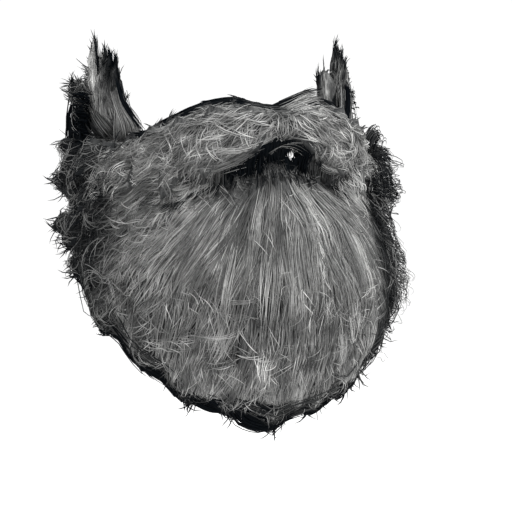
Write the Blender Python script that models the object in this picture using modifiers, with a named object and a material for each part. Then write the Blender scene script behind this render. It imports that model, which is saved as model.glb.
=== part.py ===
"""A full false beard: a cloth backing that fits the face, and the hair masses that it carries.

The wearer looks along -Y and +Z is up. The origin is the chin seat, where the front of the chin
touches the inside of the backing. Places round the head are given by a polar angle about the head
axis, the upright line through the ear line's middle: 0 degrees is the front, 90 the wearer's left
ear line (+X). Metres throughout.
"""

import math
from collections import namedtuple

import bmesh
import bpy
from mathutils import Vector

# The face that the beard is made for
FACE_HEIGHT = 0.100  # chin seat up to the tips of the sideburns
FACE_HALF_WIDTH = 0.064  # at the ear line
FACE_DEPTH = 0.103  # chin seat back to the ear line

# The cloth backing
BACKING_WALL = 0.0012
SEAT_GAP = 0.0007  # between the backing and the hair knotted on it
HAIR_GAP = 0.0004  # between one hair mass and the next
JAW_WRAP = 0.028  # how far the backing reaches below the chin seat
REAR_ANGLE = 90.0  # where the backing ends, at the ear line
BACKING_COLUMN_ANGLE = 5.625  # between the columns of the backing and of its seat
BACKING_ROWS = 9
NECK_ROWS = 8  # rows of the seat below the backing
CROWN_ROWS = 2  # and above it

# The mouth: a hole in the backing, which the hair overhangs all round
MOUTH_HEIGHT = 0.037
MOUTH_HALF_WIDTH = 0.027
MOUTH_HALF_HEIGHT = 0.0080
MOUTH_ARCH = 0.014  # how far the mouth's corners drop below its middle
MOUTH_SIDES = 28
END_OVERHANG = 0.0050  # of the hair over the hole's ends
LIP_OVERHANG = 0.0032  # and over its upper and lower edge

# The hair
HAIR_COLUMN_ANGLE = 8.6
BEARD_DROP = 0.110  # chin seat down to the lower edge of the beard's body
BEARD_THICKNESS = 0.020
BEARD_ROWS = 7
MOUSTACHE_THICKNESS = 0.015
MOUSTACHE_ROWS = 5
SIDEBURN_THICKNESS = 0.009
SIDEBURN_ROWS = 4
FALL_THICKNESS = 0.008
FALL_ROWS = 3
EDGE_SHARE = 0.16  # a mass is this share of its thickness at its edges
ROOT_DEPTH = 0.003  # how far a mass is modelled into the face before its seat is cut
LOCK_SIDES = 5
LOCK_WIDTH = 0.022
LOCK_THICKNESS = 0.010
LOCK_SINK = 0.30  # a lock's middle line lies this share of its thickness under the surface
TANGENT_STEP = 0.05  # share of a lock's length over which its direction is taken
CRUMB_SHARE = 0.05  # loose cuttings under this share of a mass's faces are swept away

# Head and neck. height is a share of FACE_HEIGHT, width of FACE_HALF_WIDTH, front of FACE_DEPTH
Head = namedtuple("Head", "height width front")
HEAD_ROWS = (
    Head(height=-1.60, width=1.00, front=0.24),
    Head(height=-1.00, width=0.86, front=0.28),
    Head(height=-0.52, width=0.78, front=0.36),
    Head(height=-0.34, width=0.80, front=0.30),
    Head(height=-0.19, width=0.86, front=0.09),
    Head(height=0.00, width=0.94, front=0.00),
    Head(height=0.16, width=0.97, front=0.01),
    Head(height=0.34, width=0.99, front=-0.04),
    Head(height=0.58, width=1.00, front=-0.03),
    Head(height=0.82, width=1.00, front=-0.02),
    Head(height=1.20, width=1.00, front=-0.02),
)

# The backing's upper and lower edge. angle is a share of REAR_ANGLE, top of FACE_HEIGHT, low of JAW_WRAP
Edge = namedtuple("Edge", "angle top low")
EDGE_ROWS = (
    Edge(angle=0.00, top=0.580, low=-1.00),
    Edge(angle=0.16, top=0.645, low=-0.98),
    Edge(angle=0.30, top=0.580, low=-0.92),
    Edge(angle=0.45, top=0.490, low=-0.84),
    Edge(angle=0.57, top=0.425, low=-0.72),
    Edge(angle=0.66, top=0.445, low=-0.60),
    Edge(angle=0.74, top=0.550, low=-0.48),
    Edge(angle=0.82, top=0.640, low=-0.34),
    Edge(angle=0.92, top=0.680, low=-0.20),
    Edge(angle=1.00, top=0.640, low=-0.05),
)

# The beard's body. angle as above, top of FACE_HEIGHT, low of BEARD_DROP
Body = namedtuple("Body", "angle top low")
BEARD_ROWS_ROUND = (
    Body(angle=0.00, top=0.270, low=-1.00),
    Body(angle=0.12, top=0.220, low=-0.97),
    Body(angle=0.18, top=0.240, low=-0.94),
    Body(angle=0.24, top=0.280, low=-0.90),
    Body(angle=0.40, top=0.330, low=-0.77),
    Body(angle=0.57, top=0.420, low=-0.54),
    Body(angle=0.66, top=0.455, low=-0.36),
    Body(angle=0.80, top=0.472, low=-0.20),
    Body(angle=0.92, top=0.472, low=-0.08),
    Body(angle=1.00, top=0.472, low=0.00),
)

# How far the beard stands out at each height. height is a share of BEARD_DROP (FACE_HEIGHT above
# the chin), side and front are shares of BEARD_THICKNESS beyond the face at its widest
Puff = namedtuple("Puff", "height side front")
PUFF_ROWS = (
    Puff(height=-1.10, side=0.00, front=-0.50),
    Puff(height=-0.95, side=0.50, front=-0.05),
    Puff(height=-0.80, side=1.15, front=0.45),
    Puff(height=-0.57, side=1.60, front=0.90),
    Puff(height=-0.33, side=1.85, front=1.15),
    Puff(height=-0.10, side=1.45, front=1.15),
    Puff(height=0.10, side=1.30, front=0.90),
    Puff(height=0.25, side=1.30, front=0.50),
    Puff(height=0.45, side=1.00, front=0.40),
    Puff(height=1.00, side=0.50, front=0.40),
)

# The moustache. angle as above, top and low of FACE_HEIGHT, thick of MOUSTACHE_THICKNESS. The
# tables after it are like it, each with its own thickness
Wing = namedtuple("Wing", "angle top low thick")
MOUSTACHE_ROWS_ROUND = (
    Wing(angle=0.00, top=0.600, low=0.455, thick=0.55),
    Wing(angle=0.07, top=0.635, low=0.395, thick=0.80),
    Wing(angle=0.16, top=0.670, low=0.270, thick=1.00),
    Wing(angle=0.30, top=0.600, low=0.180, thick=1.05),
    Wing(angle=0.45, top=0.510, low=0.200, thick=1.00),
    Wing(angle=0.60, top=0.440, low=0.300, thick=0.70),
)

# The lower lip's root strip, which carries the locks that fall over the chin
FALL_ROWS_ROUND = (
    Wing(angle=0.00, top=0.300, low=0.160, thick=1.00),
    Wing(angle=0.10, top=0.270, low=0.140, thick=1.00),
    Wing(angle=0.20, top=0.190, low=0.070, thick=0.80),
)

# The sideburns, from their front edge back
SIDEBURN_ROWS_ROUND = (
    Wing(angle=0.64, top=0.54, low=0.48, thick=0.70),
    Wing(angle=0.72, top=0.76, low=0.48, thick=0.80),
    Wing(angle=0.84, top=0.84, low=0.48, thick=1.00),
    Wing(angle=0.93, top=0.86, low=0.48, thick=1.20),
    Wing(angle=1.00, top=0.80, low=0.48, thick=1.40),
)

# A tier of locks. from_angle and to_angle are shares of REAR_ANGLE; root and tip are places between
# a mass's low edge (0) and top edge (1), and every other tip is lifted by stagger; swing is how far
# the tip moves round the head, in degrees, for a lock at the tier's end; width and thick are shares
# of LOCK_WIDTH and LOCK_THICKNESS; flick is how far the tip stands off, as a share of LOCK_THICKNESS
Tier = namedtuple("Tier", "from_angle to_angle count root tip stagger swing width thick flick")
BEARD_TIERS = (
    Tier(-0.86, 0.86, 13, root=0.26, tip=-0.05, stagger=0.04, swing=3.0, width=1.00, thick=1.1, flick=0.1),
    Tier(-0.78, 0.78, 9, root=0.56, tip=0.10, stagger=0.07, swing=6.0, width=1.10, thick=1.0, flick=0.4),
    Tier(0.66, 0.92, 3, root=0.96, tip=0.38, stagger=0.08, swing=5.0, width=0.80, thick=0.9, flick=0.5),
    Tier(-0.92, -0.66, 3, root=0.96, tip=0.38, stagger=0.08, swing=5.0, width=0.80, thick=0.9, flick=0.5),
)
MOUSTACHE_TIERS = (
    Tier(0.08, 0.50, 5, root=0.84, tip=-0.16, stagger=0.10, swing=13.0, width=0.80, thick=0.80, flick=0.2),
    Tier(-0.50, -0.08, 5, root=0.84, tip=-0.16, stagger=0.10, swing=13.0, width=0.80, thick=0.80, flick=0.2),
)
FALL_TIERS = (
    Tier(-0.16, 0.16, 7, root=0.60, tip=-7.2, stagger=1.20, swing=20.0, width=0.80, thick=0.85, flick=0.5),
)

# One tuft of a sideburn, or of the beard's sides and rear edge. angle and lean are shares of
# REAR_ANGLE, where lean is how far the tip moves round; root and tip are shares of FACE_HEIGHT;
# width, thick and out, which is how far the tip stands off, are as in a tier
Tuft = namedtuple("Tuft", "angle lean root tip width thick out")
SIDEBURN_TUFTS = (
    Tuft(angle=0.91, lean=0.010, root=0.66, tip=1.000, width=0.42, thick=0.75, out=0.0),
    Tuft(angle=0.83, lean=-0.010, root=0.66, tip=0.940, width=0.36, thick=0.60, out=0.0),
    Tuft(angle=0.78, lean=-0.020, root=0.62, tip=0.930, width=0.36, thick=0.60, out=0.1),
    Tuft(angle=0.73, lean=-0.030, root=0.58, tip=0.880, width=0.36, thick=0.60, out=0.2),
    Tuft(angle=0.96, lean=0.050, root=0.66, tip=0.760, width=0.45, thick=0.70, out=0.9),
)
BEARD_TUFTS = (
    Tuft(angle=0.94, lean=0.060, root=0.36, tip=0.440, width=0.60, thick=0.80, out=1.0),
    Tuft(angle=0.95, lean=0.060, root=0.20, tip=0.220, width=0.65, thick=0.80, out=0.8),
    Tuft(angle=0.92, lean=0.060, root=-0.02, tip=-0.060, width=0.65, thick=0.80, out=0.8),
    Tuft(angle=0.72, lean=0.030, root=0.40, tip=0.240, width=0.70, thick=0.80, out=1.1),
    Tuft(angle=0.70, lean=0.030, root=0.22, tip=0.040, width=0.70, thick=0.80, out=1.0),
)

# A lock's outline along its length: at is a share of the length, wide of its greatest width
Leaf = namedtuple("Leaf", "at wide")
LEAF_ROWS = (
    Leaf(at=0.00, wide=0.70),
    Leaf(at=0.28, wide=1.00),
    Leaf(at=0.60, wide=0.90),
    Leaf(at=0.86, wide=0.48),
)


def read_table(rows, key, at, column):
    """A column's value at a place between rows, on a smooth curve through them."""
    places = [getattr(row, key) for row in rows]
    values = [getattr(row, column) for row in rows]
    if at <= places[0]:
        return values[0]
    if at >= places[-1]:
        return values[-1]
    i = max(k for k in range(len(places) - 1) if places[k] <= at)
    slopes = [(values[k + 1] - values[k]) / (places[k + 1] - places[k]) for k in range(len(places) - 1)]
    ends = []
    for k in (i, i + 1):
        if k in (0, len(places) - 1):
            ends.append(slopes[min(k, len(slopes) - 1)])
        elif slopes[k - 1] * slopes[k] <= 0:
            ends.append(0.0)
        else:
            ends.append(2 * slopes[k - 1] * slopes[k] / (slopes[k - 1] + slopes[k]))
    span = places[i + 1] - places[i]
    t = (at - places[i]) / span
    return (
        values[i] * (1 + 2 * t) * (1 - t) ** 2
        + values[i + 1] * t * t * (3 - 2 * t)
        + span * (ends[0] * t * (1 - t) ** 2 + ends[1] * t * t * (t - 1))
    )


def place(angle, radius, height):
    """A point by its angle round the head axis, its distance from it and its height."""
    turn = math.radians(angle)
    return Vector((radius * math.sin(turn), FACE_DEPTH - radius * math.cos(turn), height))


def oval(angle, half_width, depth):
    """The radius of an ellipse at an angle from its depth axis."""
    turn = math.radians(angle)
    return half_width * depth / math.hypot(half_width * math.cos(turn), depth * math.sin(turn))


def face_radius(angle, height):
    """The wearer's face, and below it the neck and chest, as a radius from the head axis."""
    share = height / FACE_HEIGHT
    half_width = FACE_HALF_WIDTH * read_table(HEAD_ROWS, "height", share, "width")
    depth = FACE_DEPTH * (1 - read_table(HEAD_ROWS, "height", share, "front"))
    return oval(angle, half_width, depth)


def beard_radius(angle, height):
    """The outside of the beard's body, as a radius from the head axis."""
    share = height / (FACE_HEIGHT if height > 0 else BEARD_DROP)
    side = BEARD_THICKNESS * read_table(PUFF_ROWS, "height", share, "side")
    front = BEARD_THICKNESS * read_table(PUFF_ROWS, "height", share, "front")
    face_side = max(FACE_HALF_WIDTH * row.width for row in HEAD_ROWS)
    return oval(angle, face_side + side, FACE_DEPTH + front)


def seat_radius(angle, height):
    """The surface that the hair is cut to: outside the backing, measured square to the face."""
    step = FACE_HEIGHT / 100
    slope = (face_radius(angle, height + step) - face_radius(angle, height - step)) / (2 * step)
    return face_radius(angle, height) + (BACKING_WALL + SEAT_GAP) * math.hypot(1, slope)


def backing_edges(angle):
    """The heights of the backing's low and top edge."""
    share = abs(angle) / REAR_ANGLE
    low = JAW_WRAP * read_table(EDGE_ROWS, "angle", share, "low")
    return low, FACE_HEIGHT * read_table(EDGE_ROWS, "angle", share, "top")


def evenly(first, last, count):
    """Values from first to last, both included, with count steps between them."""
    return [first + (last - first) * i / count for i in range(count + 1)]


def columns(first, last, spacing):
    """Angles about a spacing apart, from first to last, both included."""
    return evenly(first, last, max(2, round((last - first) / spacing)))


def collection(name):
    """A new collection in the scene."""
    made = bpy.data.collections.new(name)
    bpy.context.scene.collection.children.link(made)
    return made


def material(name, colour, roughness):
    """A Principled material."""
    made = bpy.data.materials.new(name)
    made.use_nodes = True
    shader = made.node_tree.nodes["Principled BSDF"]
    shader.inputs["Base Color"].default_value = (*colour, 1.0)
    shader.inputs["Roughness"].default_value = roughness
    shader.inputs["Metallic"].default_value = 0.0
    return made


def loft(name, rings, group):
    """A closed solid through rings of equally many points, each ring closed by a face or a point."""
    mesh = bmesh.new()
    made = [[mesh.verts.new(point) for point in ring] for ring in rings]
    for low, high in zip(made, made[1:]):
        for i in range(max(len(low), len(high))):
            corners = [low[i % len(low)], low[(i + 1) % len(low)]]
            corners += [high[(i + 1) % len(high)], high[i % len(high)]]
            mesh.faces.new(dict.fromkeys(corners))
    for ring in (made[0], made[-1]):
        if len(ring) > 2:
            mesh.faces.new(ring)
    bmesh.ops.recalc_face_normals(mesh, faces=mesh.faces)
    bmesh.ops.triangulate(mesh, faces=mesh.faces)
    data = bpy.data.meshes.new(name)
    mesh.to_mesh(data)
    mesh.free()
    solid = bpy.data.objects.new(name, data)
    group.objects.link(solid)
    return solid


def helper(solid):
    """Marks a cutter or a lock that is joined to its mass, so that it isn't a part itself."""
    solid.hide_render = True
    solid.display_type = "WIRE"
    return solid


def boolean(solid, operation, other):
    """Adds an exact Boolean with an object or with all of a collection."""
    modifier = solid.modifiers.new(operation.lower(), "BOOLEAN")
    modifier.operation = operation
    if isinstance(other, bpy.types.Collection):
        modifier.operand_type = "COLLECTION"
        modifier.collection = other
    else:
        modifier.object = other


def settle(solid):
    """Replaces a solid's mesh by what its modifiers make, less the crumbs that a cut leaves loose."""
    graph = bpy.context.evaluated_depsgraph_get()
    data = bpy.data.meshes.new_from_object(solid.evaluated_get(graph))
    solid.modifiers.clear()
    solid.data = data
    mesh = bmesh.new()
    mesh.from_mesh(data)
    unseen = set(mesh.faces)
    crumbs = []
    while unseen:
        island = {unseen.pop()}
        edge = set(island)
        while edge:
            edge = {f for face in edge for e in face.edges for f in e.link_faces} & unseen
            unseen -= edge
            island |= edge
        if len(island) < CRUMB_SHARE * len(mesh.faces):
            crumbs += island
    bmesh.ops.delete(mesh, geom=crumbs, context="FACES")
    mesh.to_mesh(data)
    mesh.free()


def make_backing(group, cutters):
    """The cloth backing: one open surface on the face, given its wall, with the mouth cut through."""
    mesh = bmesh.new()
    grid = []
    for angle in columns(-REAR_ANGLE, REAR_ANGLE, BACKING_COLUMN_ANGLE):
        heights = evenly(*backing_edges(angle), BACKING_ROWS)
        grid.append([mesh.verts.new(place(angle, face_radius(angle, z), z)) for z in heights])
    for left, right in zip(grid, grid[1:]):
        for row in range(BACKING_ROWS):
            mesh.faces.new((left[row], right[row], right[row + 1], left[row + 1]))
    data = bpy.data.meshes.new("backing")
    mesh.to_mesh(data)
    mesh.free()
    backing = bpy.data.objects.new("backing", data)
    group.objects.link(backing)
    wall = backing.modifiers.new("wall", "SOLIDIFY")
    wall.thickness = BACKING_WALL
    wall.offset = 1.0
    boolean(backing, "DIFFERENCE", mouth_cutter("mouth_hole", 0.0, 0.0, cutters))
    return backing


def mouth_cutter(name, end_inset, lip_inset, cutters):
    """An arched oval prism through the mouth, inset from the backing's hole."""
    half_width = MOUTH_HALF_WIDTH - end_inset
    half_height = MOUTH_HALF_HEIGHT - lip_inset
    rings = []
    for y in (-FACE_DEPTH / 2, FACE_DEPTH / 2):
        ring = []
        for i in range(MOUTH_SIDES):
            turn = 2 * math.pi * i / MOUTH_SIDES
            x = half_width * math.cos(turn)
            arch = MOUTH_ARCH * (x / MOUTH_HALF_WIDTH) ** 2
            ring.append(Vector((x, y, MOUTH_HEIGHT + half_height * math.sin(turn) - arch)))
        rings.append(ring)
    return helper(loft(name, rings, cutters))


def face_cutter(cutters):
    """The wearer's head, neck and chest with the backing on, which every hair mass is cut to.

    Its rows are the backing's, so that the two surfaces run side by side. Its columns lie halfway
    between the backing's, so that no edge of it meets an edge of the hair.
    """
    bottom, crown = HEAD_ROWS[0].height * FACE_HEIGHT, HEAD_ROWS[-1].height * FACE_HEIGHT
    uprights = []
    for column in columns(-180, 180, BACKING_COLUMN_ANGLE)[:-1]:
        turn = column + BACKING_COLUMN_ANGLE / 2
        low, top = backing_edges(turn)
        heights = evenly(bottom, low, NECK_ROWS) + evenly(low, top, BACKING_ROWS)[1:]
        heights += evenly(top, crown, CROWN_ROWS)[1:]
        uprights.append([place(turn, seat_radius(turn, z), z) for z in heights])
    return helper(loft("face_cutter", list(zip(*uprights)), cutters))


class Mass:
    """A hair mass: its top and low edge, and its outside, at any angle round the head.

    drop is the length that its low edge is a share of. A mass with no thickness of its own is the
    beard. grow makes a copy that much larger on every side, to cut the neighbours with.
    """

    def __init__(self, rows, drop, thickness, grow):
        self.rows, self.drop, self.thickness, self.grow = rows, drop, thickness, grow

    def height(self, angle, share):
        """The height at a share of the way from the low to the top edge."""
        at = abs(angle) / REAR_ANGLE
        low = self.drop * read_table(self.rows, "angle", at, "low")
        return low + (FACE_HEIGHT * read_table(self.rows, "angle", at, "top") - low) * share

    def surface(self, angle, height):
        """The radius of the outside where the mass is full. Below its low edge the beard goes on."""
        if self.thickness is None or height < self.height(angle, 0):
            return beard_radius(angle, height)
        thick = read_table(self.rows, "angle", abs(angle) / REAR_ANGLE, "thick")
        return seat_radius(angle, height) + self.thickness * thick

    def outside(self, angle, share):
        """The radius at a share of the height, where the mass thins to its two edges."""
        height = self.height(angle, share)
        seat = seat_radius(angle, height)
        fullness = EDGE_SHARE + (1 - EDGE_SHARE) * (1 - abs(2 * share - 1) ** 3)
        return seat + (self.surface(angle, height) - seat) * fullness

    def body(self, name, first, last, row_count, group):
        """The solid from the face out to the mass's outside, between two shares of REAR_ANGLE."""
        spread = math.degrees(self.grow / FACE_HALF_WIDTH)
        rings = []
        for angle in columns(first * REAR_ANGLE - spread, last * REAR_ANGLE + spread, HAIR_COLUMN_ANGLE):
            outer, inner = [], []
            for share in evenly(0, 1, row_count):
                height = self.height(angle, share) + self.grow * (2 * share - 1)
                outer.append(place(angle, self.outside(angle, share) + self.grow, height))
                inner.insert(0, place(angle, seat_radius(angle, height) - ROOT_DEPTH, height))
            rings.append(outer + inner)
        return loft(name, rings, group)


def lock(name, path, width, thickness, grow, group):
    """A leaf-shaped lock of hair along path, a function from a share of its length to a point."""
    rings = []
    for row in LEAF_ROWS:
        before, after = path(max(0, row.at - TANGENT_STEP)), path(row.at + TANGENT_STEP)
        along = (after - before).normalized()
        middle = path(row.at) - along * (0 if rings else grow)
        side = along.cross(Vector((middle.x, middle.y - FACE_DEPTH, 0))).normalized()
        out = side.cross(along)
        ring = []
        for k in range(LOCK_SIDES):
            turn = 2 * math.pi * k / LOCK_SIDES
            across = side * math.cos(turn) * (width * row.wide / 2 + grow)
            ring.append(middle + across + out * math.sin(turn) * (thickness * row.wide / 2 + grow))
        rings.append(ring)
    rings.append([path(1) + (path(1) - path(1 - TANGENT_STEP)).normalized() * 2 * grow])
    return helper(loft(name, rings, group))


def lock_in_tier(mass, tier, index, name, group):
    """One lock of a tier, on its mass's outside."""
    share = index / (tier.count - 1)
    start = REAR_ANGLE * (tier.from_angle + (tier.to_angle - tier.from_angle) * share)
    swing = tier.swing * start / (REAR_ANGLE * max(abs(tier.from_angle), abs(tier.to_angle)))
    root = mass.height(start, tier.root)
    tip = mass.height(start, tier.tip + tier.stagger * (index % 2))
    thickness = LOCK_THICKNESS * tier.thick

    def path(s):
        angle, height = start + swing * s, root + (tip - root) * s
        stand = LOCK_THICKNESS * tier.flick * s * s - LOCK_SINK * thickness
        return place(angle, mass.surface(angle, height) + stand, height)

    return lock(name, path, LOCK_WIDTH * tier.width, thickness, mass.grow, group)


def lock_of_tuft(mass, tuft, side, name, group):
    """A tuft that stands off its mass at one place. side is -1 or 1."""
    thickness = LOCK_THICKNESS * tuft.thick

    def path(s):
        angle = side * REAR_ANGLE * (tuft.angle + tuft.lean * s)
        height = FACE_HEIGHT * (tuft.root + (tuft.tip - tuft.root) * s)
        stand = LOCK_THICKNESS * tuft.out * s - LOCK_SINK * thickness
        return place(angle, mass.surface(angle, height) + stand, height)

    return lock(name, path, LOCK_WIDTH * tuft.width, thickness, mass.grow, group)


def fuse(body, mass, cutters, tiers=(), tufts=(), sides=(-1, 1)):
    """Joins a mass's tiers of locks, and its tufts on each side, to its body."""
    group = bpy.data.collections.new(body.name + "_locks")
    cutters.children.link(group)
    for t, tier in enumerate(tiers):
        for index in range(tier.count):
            lock_in_tier(mass, tier, index, f"{body.name}_lock_{t}_{index}", group)
    for side in sides:
        for t, tuft in enumerate(tufts):
            lock_of_tuft(mass, tuft, side, f"{body.name}_tuft_{side}_{t}", group)
    boolean(body, "UNION", group)
    return body


def make_beard(group, cutters):
    """Cheeks, jaw and chin: the body of the beard with its tiers of locks and its tufts."""
    mass = Mass(BEARD_ROWS_ROUND, BEARD_DROP, None, 0.0)
    body = mass.body("beard", -1, 1, BEARD_ROWS, group)
    return fuse(body, mass, cutters, BEARD_TIERS, BEARD_TUFTS)


def make_moustache(name, grow, group, cutters):
    """Both wings of the moustache, one mass across the upper lip."""
    mass = Mass(MOUSTACHE_ROWS_ROUND, FACE_HEIGHT, MOUSTACHE_THICKNESS, grow)
    reach = MOUSTACHE_ROWS_ROUND[-1].angle
    body = mass.body(name, -reach, reach, MOUSTACHE_ROWS, group)
    return fuse(body, mass, cutters, MOUSTACHE_TIERS)


def make_chin_fall(name, grow, group, cutters):
    """The strip under the lower lip, and the long locks that fan from it over the chin."""
    mass = Mass(FALL_ROWS_ROUND, FACE_HEIGHT, FALL_THICKNESS, grow)
    reach = FALL_ROWS_ROUND[-1].angle
    body = mass.body(name, -reach, reach, FALL_ROWS, group)
    return fuse(body, mass, cutters, FALL_TIERS)


def make_sideburn(name, grow, group, cutters):
    """A sideburn, on the side that its name ends in: its strip in front of the ear, with its tufts."""
    side = 1 if name.endswith("left") else -1
    mass = Mass(SIDEBURN_ROWS_ROUND, FACE_HEIGHT, SIDEBURN_THICKNESS, grow)
    ends = sorted((side * SIDEBURN_ROWS_ROUND[0].angle, side * SIDEBURN_ROWS_ROUND[-1].angle))
    body = mass.body(name, *ends, SIDEBURN_ROWS, group)
    return fuse(body, mass, cutters, tufts=SIDEBURN_TUFTS, sides=(side,))


MAKERS = {
    "moustache": make_moustache,
    "chin_fall": make_chin_fall,
    "sideburn_right": make_sideburn,
    "sideburn_left": make_sideburn,
}

# The masses that lie over each mass, and cut it
OVER = {"chin_fall": ("moustache",), "beard": tuple(MAKERS)}

# Colour and roughness
FINISHES = {
    "backing": ((0.10, 0.09, 0.08), 0.90),
    "beard": ((0.20, 0.20, 0.20), 0.60),
    "moustache": ((0.32, 0.32, 0.31), 0.55),
    "chin_fall": ((0.36, 0.36, 0.35), 0.55),
    "sideburn_right": ((0.05, 0.055, 0.06), 0.60),
    "sideburn_left": ((0.05, 0.055, 0.06), 0.60),
}


def main():
    """Clears the scene, then builds the parts and cuts each hair mass to its neighbours."""
    for old in list(bpy.data.objects):
        bpy.data.objects.remove(old, do_unlink=True)
    parts = collection("full_false_beard")
    cutters = collection("cutters")

    made = {name: make(name, 0.0, parts, cutters) for name, make in MAKERS.items()}
    made["beard"] = make_beard(parts, cutters)
    grown = {name: make("grown_" + name, HAIR_GAP, cutters, cutters) for name, make in MAKERS.items()}
    for solid in grown.values():
        settle(helper(solid))
    face = face_cutter(cutters)
    slot = mouth_cutter("mouth_slot", END_OVERHANG, LIP_OVERHANG, cutters)
    for name, solid in made.items():
        boolean(solid, "DIFFERENCE", face)
        boolean(solid, "DIFFERENCE", slot)
        for over in OVER.get(name, ()):
            boolean(solid, "DIFFERENCE", grown[over])
        settle(solid)
        solid.data.materials.clear()
    made["backing"] = make_backing(parts, cutters)
    for name, (colour, roughness) in FINISHES.items():
        made[name].data.materials.append(material(name, colour, roughness))


main()
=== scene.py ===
"""The looks of a full false beard: its cloth backing, and the hair of its masses strand by strand.

The wearer looks along -Y and +Z is up. Places round the head are given as in the model: an angle
about the head axis, with 0 at the front and 90 at the wearer's left ear line (+X), and a height.
Metres and degrees throughout.
"""

import logging
import math
from dataclasses import dataclass, replace
from enum import Enum

import bmesh
import bpy
import numpy as np
from mathutils import Matrix, Vector
from mathutils.bvhtree import BVHTree


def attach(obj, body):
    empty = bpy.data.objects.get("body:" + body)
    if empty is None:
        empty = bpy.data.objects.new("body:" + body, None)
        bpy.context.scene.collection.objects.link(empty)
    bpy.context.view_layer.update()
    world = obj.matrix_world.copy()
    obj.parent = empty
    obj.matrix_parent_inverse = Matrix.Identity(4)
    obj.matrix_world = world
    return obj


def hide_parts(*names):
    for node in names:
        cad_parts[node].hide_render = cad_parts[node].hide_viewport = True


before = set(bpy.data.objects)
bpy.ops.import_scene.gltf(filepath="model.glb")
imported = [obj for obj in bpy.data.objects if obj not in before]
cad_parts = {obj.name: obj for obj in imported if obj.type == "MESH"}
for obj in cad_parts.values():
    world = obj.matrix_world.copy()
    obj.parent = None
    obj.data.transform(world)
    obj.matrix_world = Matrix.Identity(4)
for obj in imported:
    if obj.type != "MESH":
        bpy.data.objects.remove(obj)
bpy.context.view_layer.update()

log = logging.getLogger("full_false_beard")

Array = np.ndarray

BODY = "root"
SURFACE_PER_DEGREE = 0.00175  # metres along the hair for one degree round the head


class Mass(Enum):
    """A hair mass, by the name of its node in the model."""

    BEARD = "beard"
    MOUSTACHE = "moustache"
    CHIN_FALL = "chin_fall"
    SIDEBURN_RIGHT = "sideburn_right"
    SIDEBURN_LEFT = "sideburn_left"


class Lie(Enum):
    """Which way the strands of a coat start."""

    COMBED = "along the comb's strokes"
    OUTWARD = "out across the nearest edge"
    ALONG = "beside the nearest edge"
    PELT = "along the comb's strokes, on the faces that don't look outwards"


class Face(Enum):
    """Which face of the hair a coat lies on."""

    OUTSIDE = "outside"
    INSIDE = "inside"


def smooth_step(value: Array, start: float, end: float) -> Array:
    """A soft step from 0 at start to 1 at end.

    Args:
        value: Where the step is read.
        start: Where it leaves 0.
        end: Where it reaches 1, which may lie below start.

    Returns:
        The step's height at each value.
    """
    share = np.clip((value - start) / (end - start), 0.0, 1.0)
    return share * share * (3.0 - 2.0 * share)


def unit(vectors: Array) -> Array:
    """The same directions with a length of one."""
    return vectors / np.maximum(np.linalg.norm(vectors, axis=-1, keepdims=True), 1e-9)


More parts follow.
